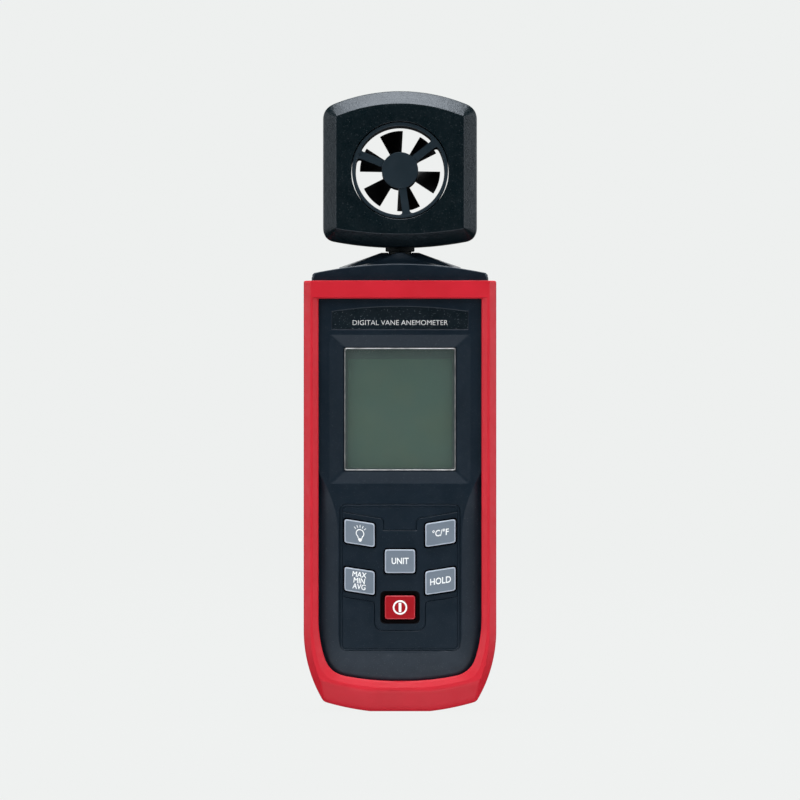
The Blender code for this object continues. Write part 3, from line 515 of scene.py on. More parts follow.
def jacket_material(name, operation, band_z):
    """A cell's printed jacket, with a pale band above or below a height in metres."""
    made = Shading(name).set(Roughness=0.28, Metallic=0.4)
    height = made.nodes.new("ShaderNodeSeparateXYZ")
    made.links.new(made.coordinates, height.inputs["Vector"])
    band = made.nodes.new("ShaderNodeMath")
    band.operation = operation
    band.inputs[1].default_value = band_z
    made.links.new(height.outputs["Z"], band.inputs[0])
    worn = made.ramp(made.noise(5, 4), [(0.3, (0.03, 0.045, 0.08)), (0.7, (0.045, 0.06, 0.10))])
    made.to(made.mix(band.outputs[0], worn, (0.60, 0.42, 0.16)), "Base Color")
    made.bump([(made.noise(1.5, 2), 0.01)])
    return made.material


# Name: dark and light colour, roughness range, grain size and depth in mm, share of pale specks.
MOULDED = {
    "case_plastic": (
        (0.0048, 0.0105, 0.0170), (0.0070, 0.0137, 0.0218), (0.30, 0.38), 0.35, 0.010, 0.05
    ),
    "head_plastic": (
        (0.0010, 0.0050, 0.0068), (0.0020, 0.0070, 0.0092), (0.27, 0.35), 0.28, 0.062, 0.06
    ),
    "label_plastic": (
        (0.0008, 0.0045, 0.0070), (0.0035, 0.0088, 0.0125), (0.3, 0.42), 0.4, 0.06, 0.22
    ),
    "spider_plastic": ((0.010, 0.018, 0.024), (0.013, 0.022, 0.029), (0.32, 0.42), 0.4, 0.008),
    "vane_plastic": ((0.003, 0.003, 0.004), (0.005, 0.005, 0.006), (0.3, 0.42), 0.5, 0.004),
    "stem_plastic": ((0.002, 0.004, 0.005), (0.003, 0.005, 0.006), (0.6, 0.7), 0.4, 0.008),
    "duct_plastic": ((0.005, 0.006, 0.007), (0.008, 0.009, 0.010), (0.16, 0.26), 0.8, 0.002),
    # The next material is near black: painted shade in the power key's recess and in the gaps round
    # the keys.
    "recess_painted_shade": ((0.0015, 0.0008, 0.0012), (0.002, 0.0012, 0.0016), (0.7, 0.8), 0.4, 0.01),
    "boot_rubber": ((0.550, 0.012, 0.024), (0.605, 0.015, 0.030), (0.42, 0.54), 0.45, 0.012),
    "key_grey": ((0.148, 0.181, 0.222), (0.166, 0.200, 0.244), (0.38, 0.5), 0.4, 0.006),
    # The next two are lighter copies of the key colours: a painted highlight on the keys' rounded
    # rims.
    "key_rim_painted_highlight": ((0.37, 0.42, 0.49), (0.43, 0.48, 0.56), (0.34, 0.44), 0.4, 0.006),
    "key_red_rim_painted_highlight": ((0.42, 0.013, 0.024), (0.47, 0.017, 0.030), (0.34, 0.44), 0.4, 0.006),
    "key_red": ((0.315, 0.005, 0.011), (0.36, 0.007, 0.013), (0.38, 0.48), 0.4, 0.006),
    "light_guide": ((0.78, 0.80, 0.76), (0.86, 0.88, 0.84), (0.2, 0.3), 0.6, 0.003),
    "chip": ((0.010, 0.010, 0.011), (0.018, 0.018, 0.019), (0.4, 0.55), 0.15, 0.006),
    "silicone": ((0.28, 0.29, 0.31), (0.36, 0.37, 0.39), (0.5, 0.65), 0.4, 0.01),
    "jewel": ((0.45, 0.03, 0.09), (0.60, 0.05, 0.13), (0.08, 0.16), 0.5, 0.002),
    "label_film": ((0.50, 0.52, 0.53), (0.58, 0.60, 0.61), (0.35, 0.45), 0.3, 0.003),
    "label_ink": ((0.02, 0.02, 0.022), (0.035, 0.035, 0.04), (0.5, 0.6), 0.3, 0.003),
    "foam": ((0.02, 0.02, 0.022), (0.05, 0.05, 0.055), (0.85, 0.95), 0.5, 0.2),
    "cable_jacket": ((0.015, 0.015, 0.016), (0.03, 0.03, 0.032), (0.45, 0.6), 0.5, 0.01),
    "connector_plastic": ((0.70, 0.68, 0.60), (0.80, 0.78, 0.70), (0.35, 0.5), 0.5, 0.006),
}
SHEEN = {"Specular_IOR_Level": 0.40, "Specular_Tint": (0.83, 0.89, 1.0, 1.0)}
SOCKETS = {
    "case_plastic": SHEEN,
    "head_plastic": SHEEN,
    "label_plastic": SHEEN,
    "spider_plastic": SHEEN,
    "stem_plastic": {"Specular_IOR_Level": 0.15},
    "recess_painted_shade": {"Specular_IOR_Level": 0.1},
    "boot_rubber": {"Specular_IOR_Level": 0.25},
    "key_red": {"Specular_IOR_Level": 0.15},
}
GLASS_TONES = [(0.3, (0.20, 0.24, 0.23)), (0.7, (0.24, 0.28, 0.27))]
FIELD_TONES = [
    (0.3, (0.036, 0.081, 0.060)),
    (0.5, (0.041, 0.086, 0.061)),
    (0.7, (0.049, 0.090, 0.059)),
]
# The LCD's border is darker than its field: partly its own frame, partly painted shade that the
# window's bezel casts.
FRAME_AND_SHADE_TONES = [(0.3, (0.028, 0.053, 0.045)), (0.7, (0.034, 0.060, 0.050))]
# Name: grain size in mm, noise detail, colour stops, other sockets.
DRIFTING = {
    "legend_ink": (0.6, 2, [(0.3, 0.90), (0.7, 0.97)], {"Roughness": 0.45}),
    "panel_ink": (0.25, 2, [(0.35, 0.62), (0.65, 1.0)], {"Roughness": 0.5}),
    "window_glass": (14, 2, GLASS_TONES, {"Roughness": 0.05, "IOR": 1.49, "Alpha": 0.10}),
    # The next two colour the pane's rim: an opaque painted highlight, brighter still on the top and
    # bottom faces.
    "window_rim_painted_highlight": (3, 2, [(0.35, 0.15), (0.65, 0.26)], {"Roughness": 0.18, "IOR": 1.49}),
    "window_top_bottom_painted_highlight": (3, 2, [(0.35, 0.42), (0.65, 0.80)], {"Roughness": 0.18, "IOR": 1.49}),
    "lcd_glass": (16, 3, FIELD_TONES, {"Roughness": 0.24, "IOR": 1.5}),
    "lcd_frame_and_painted_shade": (9, 3, FRAME_AND_SHADE_TONES, {"Roughness": 0.3, "IOR": 1.5}),
}


def make_materials():
    made = {}
    for name, look in MOULDED.items():
        made[name] = moulded(name, *look, **SOCKETS.get(name, {}))
    for name, (*look, sockets) in DRIFTING.items():
        made[name] = drifting(name, *look, **sockets)
    made["circuit_board"] = board_material()
    made["steel"] = metal("steel", (0.62, 0.63, 0.65), 0.28)
    made["brass"] = metal("brass", (0.78, 0.60, 0.30), 0.25, (1, 1, 0.1))
    made["cell_jacket"] = jacket_material("cell_jacket", "GREATER_THAN", 0.056)
    made["cell_jacket_inverted"] = jacket_material("cell_jacket_inverted", "LESS_THAN", 0.033)
    return made


materials = make_materials()


def paint(obj, *names):
    obj.data.materials.clear()
    for name in names:
        obj.data.materials.append(materials[name])
    for face in obj.data.polygons:
        face.material_index = 0


def repaint(obj, index, choose):
    """Gives the faces that choose(centre, normal) picks the object's material of that index."""
    for face in obj.data.polygons:
        if choose(face.center / MM, face.normal):
            face.material_index = index


def sharpen(obj, inside, angle):
    """Marks the edges sharper than the angle whose middle is inside a region."""
    bm = bmesh.new()
    bm.from_mesh(obj.data)
    for edge in bm.edges:
        middle = (edge.verts[0].co + edge.verts[1].co) / (2 * MM)
        if len(edge.link_faces) == 2 and inside(middle) and edge.calc_face_angle() > radians(angle):
            edge.smooth = False
    bm.to_mesh(obj.data)
    bm.free()


def place(obj, body, slot, *nodes, look=None, angle=30, crisp=None):
    """Paints the piece if it's still bare, smooths it, ties it to its body and hides the CAD nodes
    it stands for.
    """
    if not any(obj.data.materials):
        paint(obj, look or slot)
    obj.data.shade_smooth()
    obj.data.set_sharp_from_angle(angle=radians(angle))
    if crisp:
        sharpen(obj, *crisp)
    weighted = obj.modifiers.new("weighted", "WEIGHTED_NORMAL")
    weighted.keep_sharp = True
    settle(obj)
    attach(obj, body)
    if nodes:
        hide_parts(*nodes)


# ---------------------------------------------------------------- boot and case


def mixed(first, second, share):
    return [tuple(Vector(p).lerp(Vector(q), share)) for p, q in zip(first, second)]


def bend(first, corner, second, shares):
    """Rings that round a corner ring between two others."""
    return [mixed(mixed(first, corner, t), mixed(corner, second, t), t) for t in shares]


def make_boot():
    """The rubber boot: a soft ridge round its front, open at front, back and top."""
    outer = boot_outline()
    shoulder = [(x, BOOT_FRONT + 3.2 + 2.5 * max(0.0, 1 - z / 24), z) for x, z in outer]
    side = [(x, y + 1.0, z) for x, y, z in shoulder]
    ridge = at(boot_outline(2.3, 7.1), BOOT_FRONT)
    brow = at(boot_outline(3.3, 8.3, BOOT_TOP - 0.7), BOOT_FRONT + 0.45)
    rear_edge = at(outer, BOOT_BACK - 3.2)
    rear = at(boot_outline(2.3, 4.0), BOOT_BACK)
    rear_face = at(boot_outline(2.9, 4.9, BOOT_TOP - 0.4), BOOT_BACK)
    shares = (0.0, 0.25, 0.5, 0.75, 1.0)
    rings = bend(rear_face, rear, mixed(rear, rear_edge, 0.2), shares)
    rings += bend(mixed(rear, rear_edge, 0.7), rear_edge, at(outer, BOOT_BACK - 4.2), shares)
    rings += bend(side, shoulder, mixed(shoulder, ridge, 0.3), shares)
    rings += bend(mixed(shoulder, ridge, 0.86), ridge, brow, (0.0, 0.2, 0.4, 0.55))
    shell = loft("boot", rings)
    room = [
        at(case_outline(-GAP, top=BOOT_TOP + 2, foot_rise=rise), y)
        for y, rise in ((CASE_FRONT - GAP, 9.0), (-12.5, 7.2), (-11.3, 0.0), (CASE_BACK + GAP, 0.0))
    ]
    half, top = BOOT_FRONT_WINDOW
    lower = lower_half(half, 42.0, 9.8, 91.0, 4.5, side_z=30.0)
    window = mirrored([(0.0, top), (half, top)] + lower)
    half, top = BOOT_LIP
    lower = lower_half(half, 44.0, 7.35, BOOT_FOOT_RADIUS, 3.0, FOOT_HALF_WIDTH, 28.0)
    lip = mirrored([(0.0, top), (half, top)] + lower)
    step = CASE_FRONT - GAP - 0.8
    inside, mouth, before = at(window, step), at(lip, BOOT_FRONT), at(lip, BOOT_FRONT - 1.2)
    front = [at(window, CASE_FRONT + 1), at(window, step + 0.15)]
    front += bend(inside, mixed(inside, mouth, 0.04), mixed(inside, mouth, 0.3), (0.5, 1.0))
    front += bend(mixed(inside, mouth, 0.75), mouth, before, (0.0, 0.25, 0.5))
    front.append(before)
    half, low, high = BOOT_BACK_WINDOW
    back = rectangle(half, low, high, 5.0, 12)
    back_wide = rectangle(half + 0.5, low - 0.5, high + 0.5, 5.5, 12)
    back_rings = [at(back, CASE_BACK - 1), at(back, BOOT_BACK - 0.5)]
    back_rings += [at(back_wide, BOOT_BACK), at(back_wide, BOOT_BACK + 1)]
    cut(
        shell,
        loft("boot_room", room),
        loft("boot_front_window", front),
        loft("boot_back_window", back_rings),
    )
    place(shell, "case", "boot_rubber", "rubber_boot", angle=40)


def flare(x, y):
    """Height of the top of the case: the arch, a ridge along the parting and a bell in front."""
    rise = NECK_TOP - CASE_TOP
    depth = abs(y)
    ridge = max(0.0, NECK_TOP - RIDGE_SLOPE * max(0.0, abs(x) - RIDGE_START) - arch(x))
    ridge *= max(0.0, 1 - (depth / RIDGE_DEPTH) ** 2) ** 1.5
    end = rise / (1 + (BELL_END / BELL_WIDTH) ** 2)
    bell = max(0.0, rise / (1 + (x / BELL_WIDTH) ** 2) - end) * BELL_GAIN
    near = max(0.0, min(1.0, (FLARE_REACH - depth) / (FLARE_REACH - NECK_RADIUS)))
    bell *= near**BELL_FALL
    height = (ridge**4 + bell**4) ** 0.25
    return min(arch(x) + height, NECK_TOP)


def saddle(name, side):
    """The flare on one half of the case, as a solid whose foot lies inside the case."""
    xs = [0.6 * i for i in range(20)] + [12.0 + 0.85 * i for i in range(10)]
    ys = [0.0, 0.8] + [1.6 + 0.4 * i for i in range(27)]
    rings = []
    for y in ys:
        half = [(x, flare(x, y)) for x in xs] + [(xs[-1], SADDLE_FOOT), (0.0, SADDLE_FOOT)]
        if y in (ys[0], ys[-1]):
            half = [(x, z - 0.002) for x, z in half]
        rings.append(at(mirrored(half), side * y))
    return loft(name, rings)


def half_space(name, y_low, y_high):
    return box(name, (-60, y_low, -10), (60, y_high, 220))


def taper(t):
    """The curve along which the raised front narrows, from the display down to the keys."""
    ends = Vector((28.0, 80.0)), Vector((20.2, 57.0))
    leans = Vector((25.4, 74.5)), Vector((20.2, 68.0))
    u = 1 - t
    return ends[0] * u**3 + leans[0] * 3 * t * u * u + leans[1] * 3 * t * t * u + ends[1] * t**3


CROWN_XS = (0.0, 4.0, 8.0, 12.0, 16.0, 20.0, 24.0, 27.2)
CORNER = [(20.2, 24.5), (20.05, 22.9), (19.5, 21.3), (18.4, 20.0), (16.5, 19.35)]


def plateau_outline(inset=0.0, steps=14):
    """The raised front of the case, with as many points as the case's edge has."""
    half = [(x, arch(x) - inset) for x in CROWN_XS]
    half.append((28.1 - inset, CASE_SHOULDER_Z))
    for i in range(steps + 1):
        x, z = taper(i / steps)
        half.append((x - inset, z))
    half += [(x - inset, z + inset * 0.5) for x, z in CORNER]
    half += [(x, 18.6 + 0.0025 * x * x + inset) for x in (12.0, 8.0, 4.0, 0.0)]
    return mirrored(half)


def case_edge_outline(inset=0.0, steps=14):
    half = [(min(x, 27.7 - inset), arch(x) - inset) for x in CROWN_XS[:-1]]
    width = CASE_HALF_WIDTH - inset
    half += [(27.7 - inset, arch(27.7) - inset), (width, CASE_SHOULDER_Z)]
    half += [(width, taper(i / steps).y) for i in range(steps + 1)]
    full = case_outline(inset)
    lower = [p for p in full[: len(full) // 2 + 1] if p[1] < TAPER_START_Z + 0.5]
    count = len(CORNER) + 4
    picks = [lower[round(i * (len(lower) - 1) / (count - 1))] for i in range(count)]
    return mirrored(half + picks)


def front_edge(inset, y_crown, y_side):
    """The case's edge, which reaches further forward along the top than down the sides."""
    crown = CASE_SHOULDER_Z - 0.6
    return [(x, y_crown if z > crown else y_side, z) for x, z in case_edge_outline(inset)]


def groove(name, points, width=GROOVE_WIDTH, depth=GROOVE_DEPTH, lean=GROOVE_LEAN):
    """A cutter along the (x, z) points of the face; its lower flank is the wider one."""
    rows = []
    for i, here in enumerate(points):
        before, after = Vector(points[max(i - 1, 0)]), Vector(points[min(i + 1, len(points) - 1)])
        along = (after - before).normalized()
        across = Vector((-along.y, along.x)) * width / 2
        spot = Vector(here)
        top, bottom = CASE_FRONT - 0.2, CASE_FRONT + depth
        left, right = spot + across, spot - across
        row = [(left.x, top, left.y), (right.x, top, right.y), (spot.x, bottom, spot.y + lean)]
        rows.append(row)
    return loft(name, rows)


def arc(centre, radius, start, end, steps=6):
    angles = [radians(start + (end - start) * i / steps) for i in range(steps + 1)]
    return [(centre[0] + radius * cos(a), centre[1] + radius * sin(a)) for a in angles]


def panel_grooves():
    """The lines that frame the keys: two outer rectangles, and a stepped line above and below."""
    made = []
    for inset, width in ((0.0, 0.6), (0.75, 0.4)):
        x, low, high, r = 19.3 - inset, 19.6 + inset, 66.6 - inset, 2.0 - inset
        left, right, foot, head = -x + r, x - r, low + r, high - r
        loop = arc((left, foot), r, 180, 270) + arc((right, foot), r, 270, 360)
        loop += arc((right, head), r, 0, 90) + arc((left, head), r, 90, 180)
        middle = ((loop[-1][0] + loop[0][0]) / 2, (loop[-1][1] + loop[0][1]) / 2)
        loop = [(middle[0], middle[1] + 0.05)] + loop + [(middle[0], middle[1] - 0.05)]
        made.append(groove("outer_groove", loop, width, width * 0.5, width * 0.35))
    upper = [(-18.4, 64.2), (-6.4, 62.2), (-5.4, 61.5), (-5.2, 60.6), (-5.2, 58.3)]
    made.append(groove("upper_groove_left", upper))
    made.append(groove("upper_groove_middle", [(-5.35, 58.3), (5.35, 58.3)]))
    made.append(groove("upper_groove_right", [(-x, z) for x, z in upper]))
    lower = [(-18.4, 36.9), (-9.0, 35.4), (-8.3, 34.9), (-8.2, 34.0), (-8.2, 28.8)]
    lower += arc((-5.6, 28.6), 2.6, 180, 270)[1:]
    lower.append((0.0, 26.0))
    made.append(groove("lower_groove_left", lower))
    made.append(groove("lower_groove_right", [(-x, z) for x, z in lower]))
    return made


def neck_bore(name):
    return cylinder(name, (0, 0, 138), "Z", NECK_BORE_RADIUS, 14, 48)


def key_cutters():
    """The openings for the keys, and the recess that the power key lies in."""
    made = []
    for name, (x, z, slant, _) in KEYS.items():
        levels = ((0.75, CASE_FRONT - 0.3), (0.45, CASE_FRONT + 0.1), (0.45, -9))
        if name == "key_power":
            half, tall = GUARD
            levels = ((0.75, CASE_FRONT - 0.5), (0.0, CASE_FRONT + 0.3), (0.0, CASE_FRONT + 1.1))
            made.append(
                stack(
                    "power_recess",
                    lambda out: rectangle(half + out, z - tall - out, z + tall + out, 1.7, 8, x),
                    levels,
                )
            )
            levels = ((0.35, CASE_FRONT - 1), (0.35, -9))
        made.append(stack(name + "_hole", lambda out: key_outline(x, z, slant, out), levels))
    return made


def make_front_case():
    shell = loft(
        "front_shell",
        [
            at(case_edge_outline(0.3), -PARTING),
            at(case_edge_outline(), -PARTING - 0.3),
            front_edge(0.0, CASE_FRONT + 0.40, -10.6),
            front_edge(0.12, CASE_FRONT + 0.28, -11.0),
            at(plateau_outline(0.16), CASE_FRONT + 0.12),
            at(plateau_outline(0.42), CASE_FRONT),
        ],
    )
    join(shell, saddle("front_saddle", -1))
    bezel = [
        at(rectangle(half, WINDOW_Z - tall, WINDOW_Z + tall, 0.8), CASE_FRONT + depth)
        for half, tall, depth in BEZEL
    ]
    cut(
        shell,
        half_space("front_parting", -PARTING, 30),
        prism("front_room", case_outline(CASE_WALL), -9.4, 2),
        prism("key_pocket", rectangle(20.3, 23.0, 70.0, 2.0), CASE_FRONT + 1.8, -9),
        prism("lcd_pocket", rectangle(21.0, 72.5, 122.5, 1.5), -10.4, -9),
        loft("bezel_slope", bezel),
        prism("window_seat", window_outline(-GAP, 0.9), CASE_FRONT, -10.9),
        prism("window_sight", window_outline(0.45), CASE_FRONT, -9),
    )

    label = []
    for more, depth in ((0.5, -0.22), (0.0, PANEL_DEPTH)):
        half, low = PANEL_HALF_WIDTH + more, PANEL_LOW - more
        xs = [half * i / 10 for i in range(11)]
        crown = [(x, PANEL_HIGH + more - x**2 * 0.0034) for x in xs]
        label.append(at(mirrored(crown + [(half, low), (0.0, low)]), CASE_FRONT + depth))
    cut(shell, loft("label_recess", label))
    cut(shell, *panel_grooves())
    cut(shell, *key_cutters(), neck_bore("front_neck_bore"))
    for x, z in CASE_SCREWS:
        join(shell, cylinder("case_boss", (x, -10.2, z), "Y", 3.0, 9.8, 24))
        cut(shell, cylinder("case_pilot", (x, -8.5, z), "Y", 1.35, 9, 16))
    paint(shell, "case_plastic", "label_plastic", "recess_painted_shade")

    def in_label(centre, normal):
        level = abs(centre.y - CASE_FRONT - PANEL_DEPTH) < 0.05
        return level and centre.z > PANEL_LOW - 0.1 and normal.y < -0.9

    def in_guard(centre, _):
        half, tall = GUARD
        inside = abs(centre.x) < half + 0.8 and abs(centre.z - KEYS["key_power"][1]) < tall + 0.8
        return inside and centre.y > CASE_FRONT + 0.1

    def in_bezel(point):
        return abs(point.x) < 25.5 and 71.0 < point.z < 123.5 and point.y < -11.5

    repaint(shell, 1, in_label)
    # The power key's recess gets the near-black painted shade.
    repaint(shell, 2, in_guard)
    place(shell, "case", "case_plastic", "front_case", crisp=(in_bezel, 8))


def make_rear_case():
    levels = ((0.3, PARTING), (0.0, PARTING + 0.3), (0.0, CASE_BACK - 2.4), (0.15, CASE_BACK - 1.9))
    levels += ((1.9, CASE_BACK - 0.1), (2.3, CASE_BACK))
    shell = stack("rear_shell", case_outline, levels)
    join(shell, saddle("rear_saddle", 1))
    cut(
        shell,
        half_space("rear_parting", -30, PARTING),
        prism("rear_room", case_outline(CASE_WALL + 0.6), -2, CASE_BACK - CASE_WALL),
    )
    walls = rectangle(BAY_HALF_WIDTH + 2.0, BAY_LOW - 2.0, BAY_HIGH + 2.2, 1.0)
    join(shell, prism("bay_walls", walls, -0.9, CASE_BACK - 1.0))
    for x, z in CASE_SCREWS:
        join(shell, cylinder("rear_boss", (x, 0.45, z), "Y", 3.2, 12.2, 24))
        cut(
            shell,
            cylinder("head_room", (x, CASE_BACK - CASE_SCREW_SINK, z), "Y", 2.6, 4, 32),
            cylinder("shank_room", (x, -1, z), "Y", 1.5, 14, 24),
        )
    seat = rectangle(DOOR_HALF_WIDTH + GAP, DOOR_LOW - GAP, DOOR_HIGH + GAP, 2.3)
    bay = rectangle(BAY_HALF_WIDTH, BAY_LOW, BAY_HIGH, 0.8)
    cutters = [prism("door_seat", seat, DOOR_FRONT - GAP, CASE_BACK + 1)]
    cutters.append(prism("battery_bay", bay, 0.6, CASE_BACK + 1))
    for x in HOOK_XS:
        slot = box("hook_slot", (x - 3.3, 8.4, 14.8), (x + 3.3, DOOR_FRONT - 0.01, BAY_LOW + 1))
        cutters.append(slot)
    half, low, high = LABEL
    label_room = rectangle(half + GAP, low - GAP, high + GAP, 1.8)
    cutters.append(prism("label_room", label_room, CASE_BACK - 0.7, CASE_BACK + 1))
    cut(shell, *cutters, neck_bore("rear_neck_bore"))
    place(shell, "case", "case_plastic", "rear_case")


def make_battery_door():
    outline = rectangle(DOOR_HALF_WIDTH, DOOR_LOW, DOOR_HIGH, 2.0)
    rim = rectangle(DOOR_HALF_WIDTH - 0.3, DOOR_LOW + 0.3, DOOR_HIGH - 0.3, 1.8)
    door = loft(
        "door_panel", [at(outline, DOOR_FRONT), at(outline, CASE_BACK - 0.25), at(rim, CASE_BACK)]
    )
    for x in HOOK_XS:
        join(door, box("door_hook", (x - 2.8, 10.1, 16.9), (x + 2.8, 11.4, 21.4)))
        join(door, box("door_hook_root", (x - 2.8, 10.2, 20.4), (x + 2.8, 12.8, 21.7)))
    join(door, box("door_tongue", (-3.8, 9.9, 67.0), (3.8, 12.8, 68.1)))
    grooves = []
    for z in (60.2, 62.0, 63.8, 65.6):
        bar = rectangle(7.0, z, z + 0.8, 0.35, 3)
        grooves.append(prism("thumb_groove", bar, CASE_BACK - 0.45, CASE_BACK + 1))
    arrow = [(-2.2, 58.0), (2.2, 58.0), (0.0, 55.2)]
    grooves.append(prism("thumb_arrow", arrow, CASE_BACK - 0.3, CASE_BACK + 1))
    cut(door, *grooves)
    place(door, "door", "case_plastic", "battery_door")


# ---------------------------------------------------------------- display, keys and legends


def lettering(name, text, size, x, z, y, slant=0.0, narrow=1.0, bold=0.0, lean=0.0, turn=1):
    """Flat raised letters centred at (x, z) on a plane at y; turn -1 faces them to the back."""
    letters = bpy.data.curves.new(name, "FONT")
    letters.body = text
    letters.size = size * MM
    letters.align_x = "CENTER"
    letters.align_y = "CENTER"
    letters.offset = bold * MM
    letters.extrude = 0.025 * MM
    letters.resolution_u = 3
    guide = bpy.data.objects.new(name, letters)
    bpy.context.scene.collection.objects.link(guide)
    graph = bpy.context.evaluated_depsgraph_get()
    mesh = bpy.data.meshes.new_from_object(guide.evaluated_get(graph))
    bpy.data.objects.remove(guide)
    for vertex in mesh.vertices:
        across, up, out = vertex.co
        across = across * narrow + up * lean
        vertex.co = Vector(
            (x * MM + turn * across, y * MM - turn * out, z * MM + up + slant * across)
        )
    bm = bmesh.new()
    bm.from_mesh(mesh)
    bmesh.ops.remove_doubles(bm, verts=bm.verts[:], dist=1e-7)
    bpy.data.meshes.remove(mesh)
    return finished(name, bm)


def stroke(name, points, radius, y, closed=False):
    """A printed line: a wire through (x, z) points, pressed flat against the plane at y."""
    path = [(x, 0.0, z) for x, z in points]
    if closed:
        path.append(path[0])
    wire = tube_along(name, path, radius, 8)
    for vertex in wire.data.vertices:
        vertex.co.y = y * MM + vertex.co.y * 0.14
    return wire


def merged(name, pieces):
    """The separate shells of several objects in one object."""
    bm = bmesh.new()
    for piece in pieces:
        bm.from_mesh(piece.data)
        bpy.data.objects.remove(piece)
    return finished(name, bm)


def bulb_icon(x, z, slant, y):
    """A lamp: a round bulb on a narrow cap, with rays above it."""
    parts = []
    bulb = arc((0, 0.15), 1.35, -52, 232, 24)
    outline = [(0.62, -1.55)] + bulb + [(-0.62, -1.55)]
    parts.append(stroke("bulb", outline, 0.17, y))
    for level in (-1.75, -2.15, -2.5):
        half = 0.66 if level > -2.4 else 0.42
        parts.append(stroke("bulb_cap", [(-half, level), (half, level)], 0.20, y))
    for angle in (-46, -23, 0, 23, 46):
        a = radians(90 + angle)
        near, far = 2.05, 2.95
        ray = [(near * cos(a), 0.15 + near * sin(a)), (far * cos(a), 0.15 + far * sin(a))]
        parts.append(stroke("bulb_ray", ray, 0.13, y))
    icon = merged("light_legend", parts)
    for vertex in icon.data.vertices:
        across = vertex.co.x * 0.9
        vertex.co.x = across + (x + 0.15) * MM
        vertex.co.z = vertex.co.z * 0.92 + z * MM + slant * across
    return icon


def power_icon(x, z, y):
    ring = stroke("power_ring", arc((x, z), 2.05, 0, 352.5, 47), 0.27, y, closed=True)
    bar = prism("power_bar", rectangle(0.42, z - 1.5, z + 1.5, 0.15, 3, x), y - 0.04, y + 0.04)
    return merged("power_legend", [ring, bar])


def max_min_avg_legend(x, z, tilt, y):
    """Three rows, each printed twice a little apart, so that its strokes are bolder."""
    rows = []
    for i, text in enumerate(("MAX", "MIN", "AVG")):
        for shift, lift in ((-0.045, 0.0), (0.045, 0.004)):
            spot = (x - 0.1 + shift, z + 1.98 - 1.95 * i, y - lift)
            rows.append(lettering("row", text, 2.5, *spot, tilt, 0.85, 0.0, 0.12))
    return merged("max_min_avg_legend", rows)


WORDS = {  # key: (legend, letter size)
    "key_temperature_unit": ("°C/°F", 2.85),
    "key_speed_unit": ("UNIT", 2.85),
    "key_hold": ("HOLD", 2.95),
}


def make_keys():
    levels = ((0.75, -10.3), (0.75, KEY_FLANGE), (0.0, KEY_FLANGE), (0.0, KEY_FACE + 0.34))
    levels += ((-0.08, KEY_FACE + 0.14), (-0.22, KEY_FACE + 0.03), (-0.38, KEY_FACE))
    for name, (x, z, slant, body) in KEYS.items():
        red = name == "key_power"
        material = "key_red" if red else "key_grey"
        cap = stack(name + "_cap", lambda out: key_outline(x, z, slant, out), levels)
        join(cap, cylinder(name + "_stem", (x, -10.6, z), "Y", 1.6, 2.7, 24))
        paint(cap, material, "recess_painted_shade", "key_red_rim_painted_highlight" if red else "key_rim_painted_highlight")
        # The key's flange, deep in its gap, gets the near-black painted shade.
        repaint(cap, 1, lambda centre, normal: centre.y > -11.5)
        # The rounded rim of each key's face gets a lighter copy of its colour, a painted highlight.
        repaint(cap, 2, lambda centre, normal: centre.y < KEY_FACE + 0.3 and normal.y > -0.995)
        place(cap, body, material, name, angle=40)
        legend_y = KEY_FACE - 0.012
        tilt = slant * KEY_SLANT
        if name == "key_light":
            legend = bulb_icon(x, z - 0.25, tilt, legend_y)
        elif name == "key_power":
            legend = power_icon(x, z, legend_y)
        elif name == "key_max_min_avg":
            legend = max_min_avg_legend(x, z, tilt, legend_y)
        else:
            text, size = WORDS[name]
            legend = lettering(name[4:] + "_legend", text, size, x, z, legend_y, tilt, 0.84, 0.045)
        place(legend, body, material, look="legend_ink")


def make_display():
    def lcd_outline(inset):
        return rectangle(18.6 - inset, WINDOW_Z - 21.5 + inset, WINDOW_Z + 20.5 - inset, 0.4)

    window = stack("window_pane", window_outline, WINDOW_LEVELS)
    paint(window, "window_glass", "window_rim_painted_highlight", "window_top_bottom_painted_highlight")
    # Its rim faces get a painted highlight, brightest on the top and bottom faces.
    repaint(window, 1, lambda centre, normal: abs(normal.y) < 0.97)
    repaint(window, 2, lambda centre, normal: abs(normal.y) < 0.97 and abs(normal.z) > 0.3)
    place(window, "case", "window_glass", "display_window")

    levels = ((0.0, LCD_BACK), (0.0, LCD_FRONT + 0.1), (0.1, LCD_FRONT))
    # The pane is darker than the field in front of it. Its border shows as a wide band along the
    # top and thin bands at the sides: partly the LCD's frame, partly painted shade of the bezel.
    glass = stack("lcd_pane", lcd_outline, levels)
    place(glass, "case", "lcd_glass", "lcd_glass", look="lcd_frame_and_painted_shade")
    field = rectangle(16.75, WINDOW_LOW + 0.7, WINDOW_HIGH - 3.6, 0.9)
    film = prism("lcd_field", field, LCD_FRONT - 0.05, LCD_FRONT + 0.04)
    place(film, "case", "lcd_glass")
    words_y = CASE_FRONT + PANEL_DEPTH - 0.01
    words = lettering("panel_words", TYPE_NAME, 2.3, 0.0, 125.1, words_y, 0, 1.0, -0.03)
    place(words, "case", "case_plastic", look="panel_ink")


# ---------------------------------------------------------------- screws, cells and label


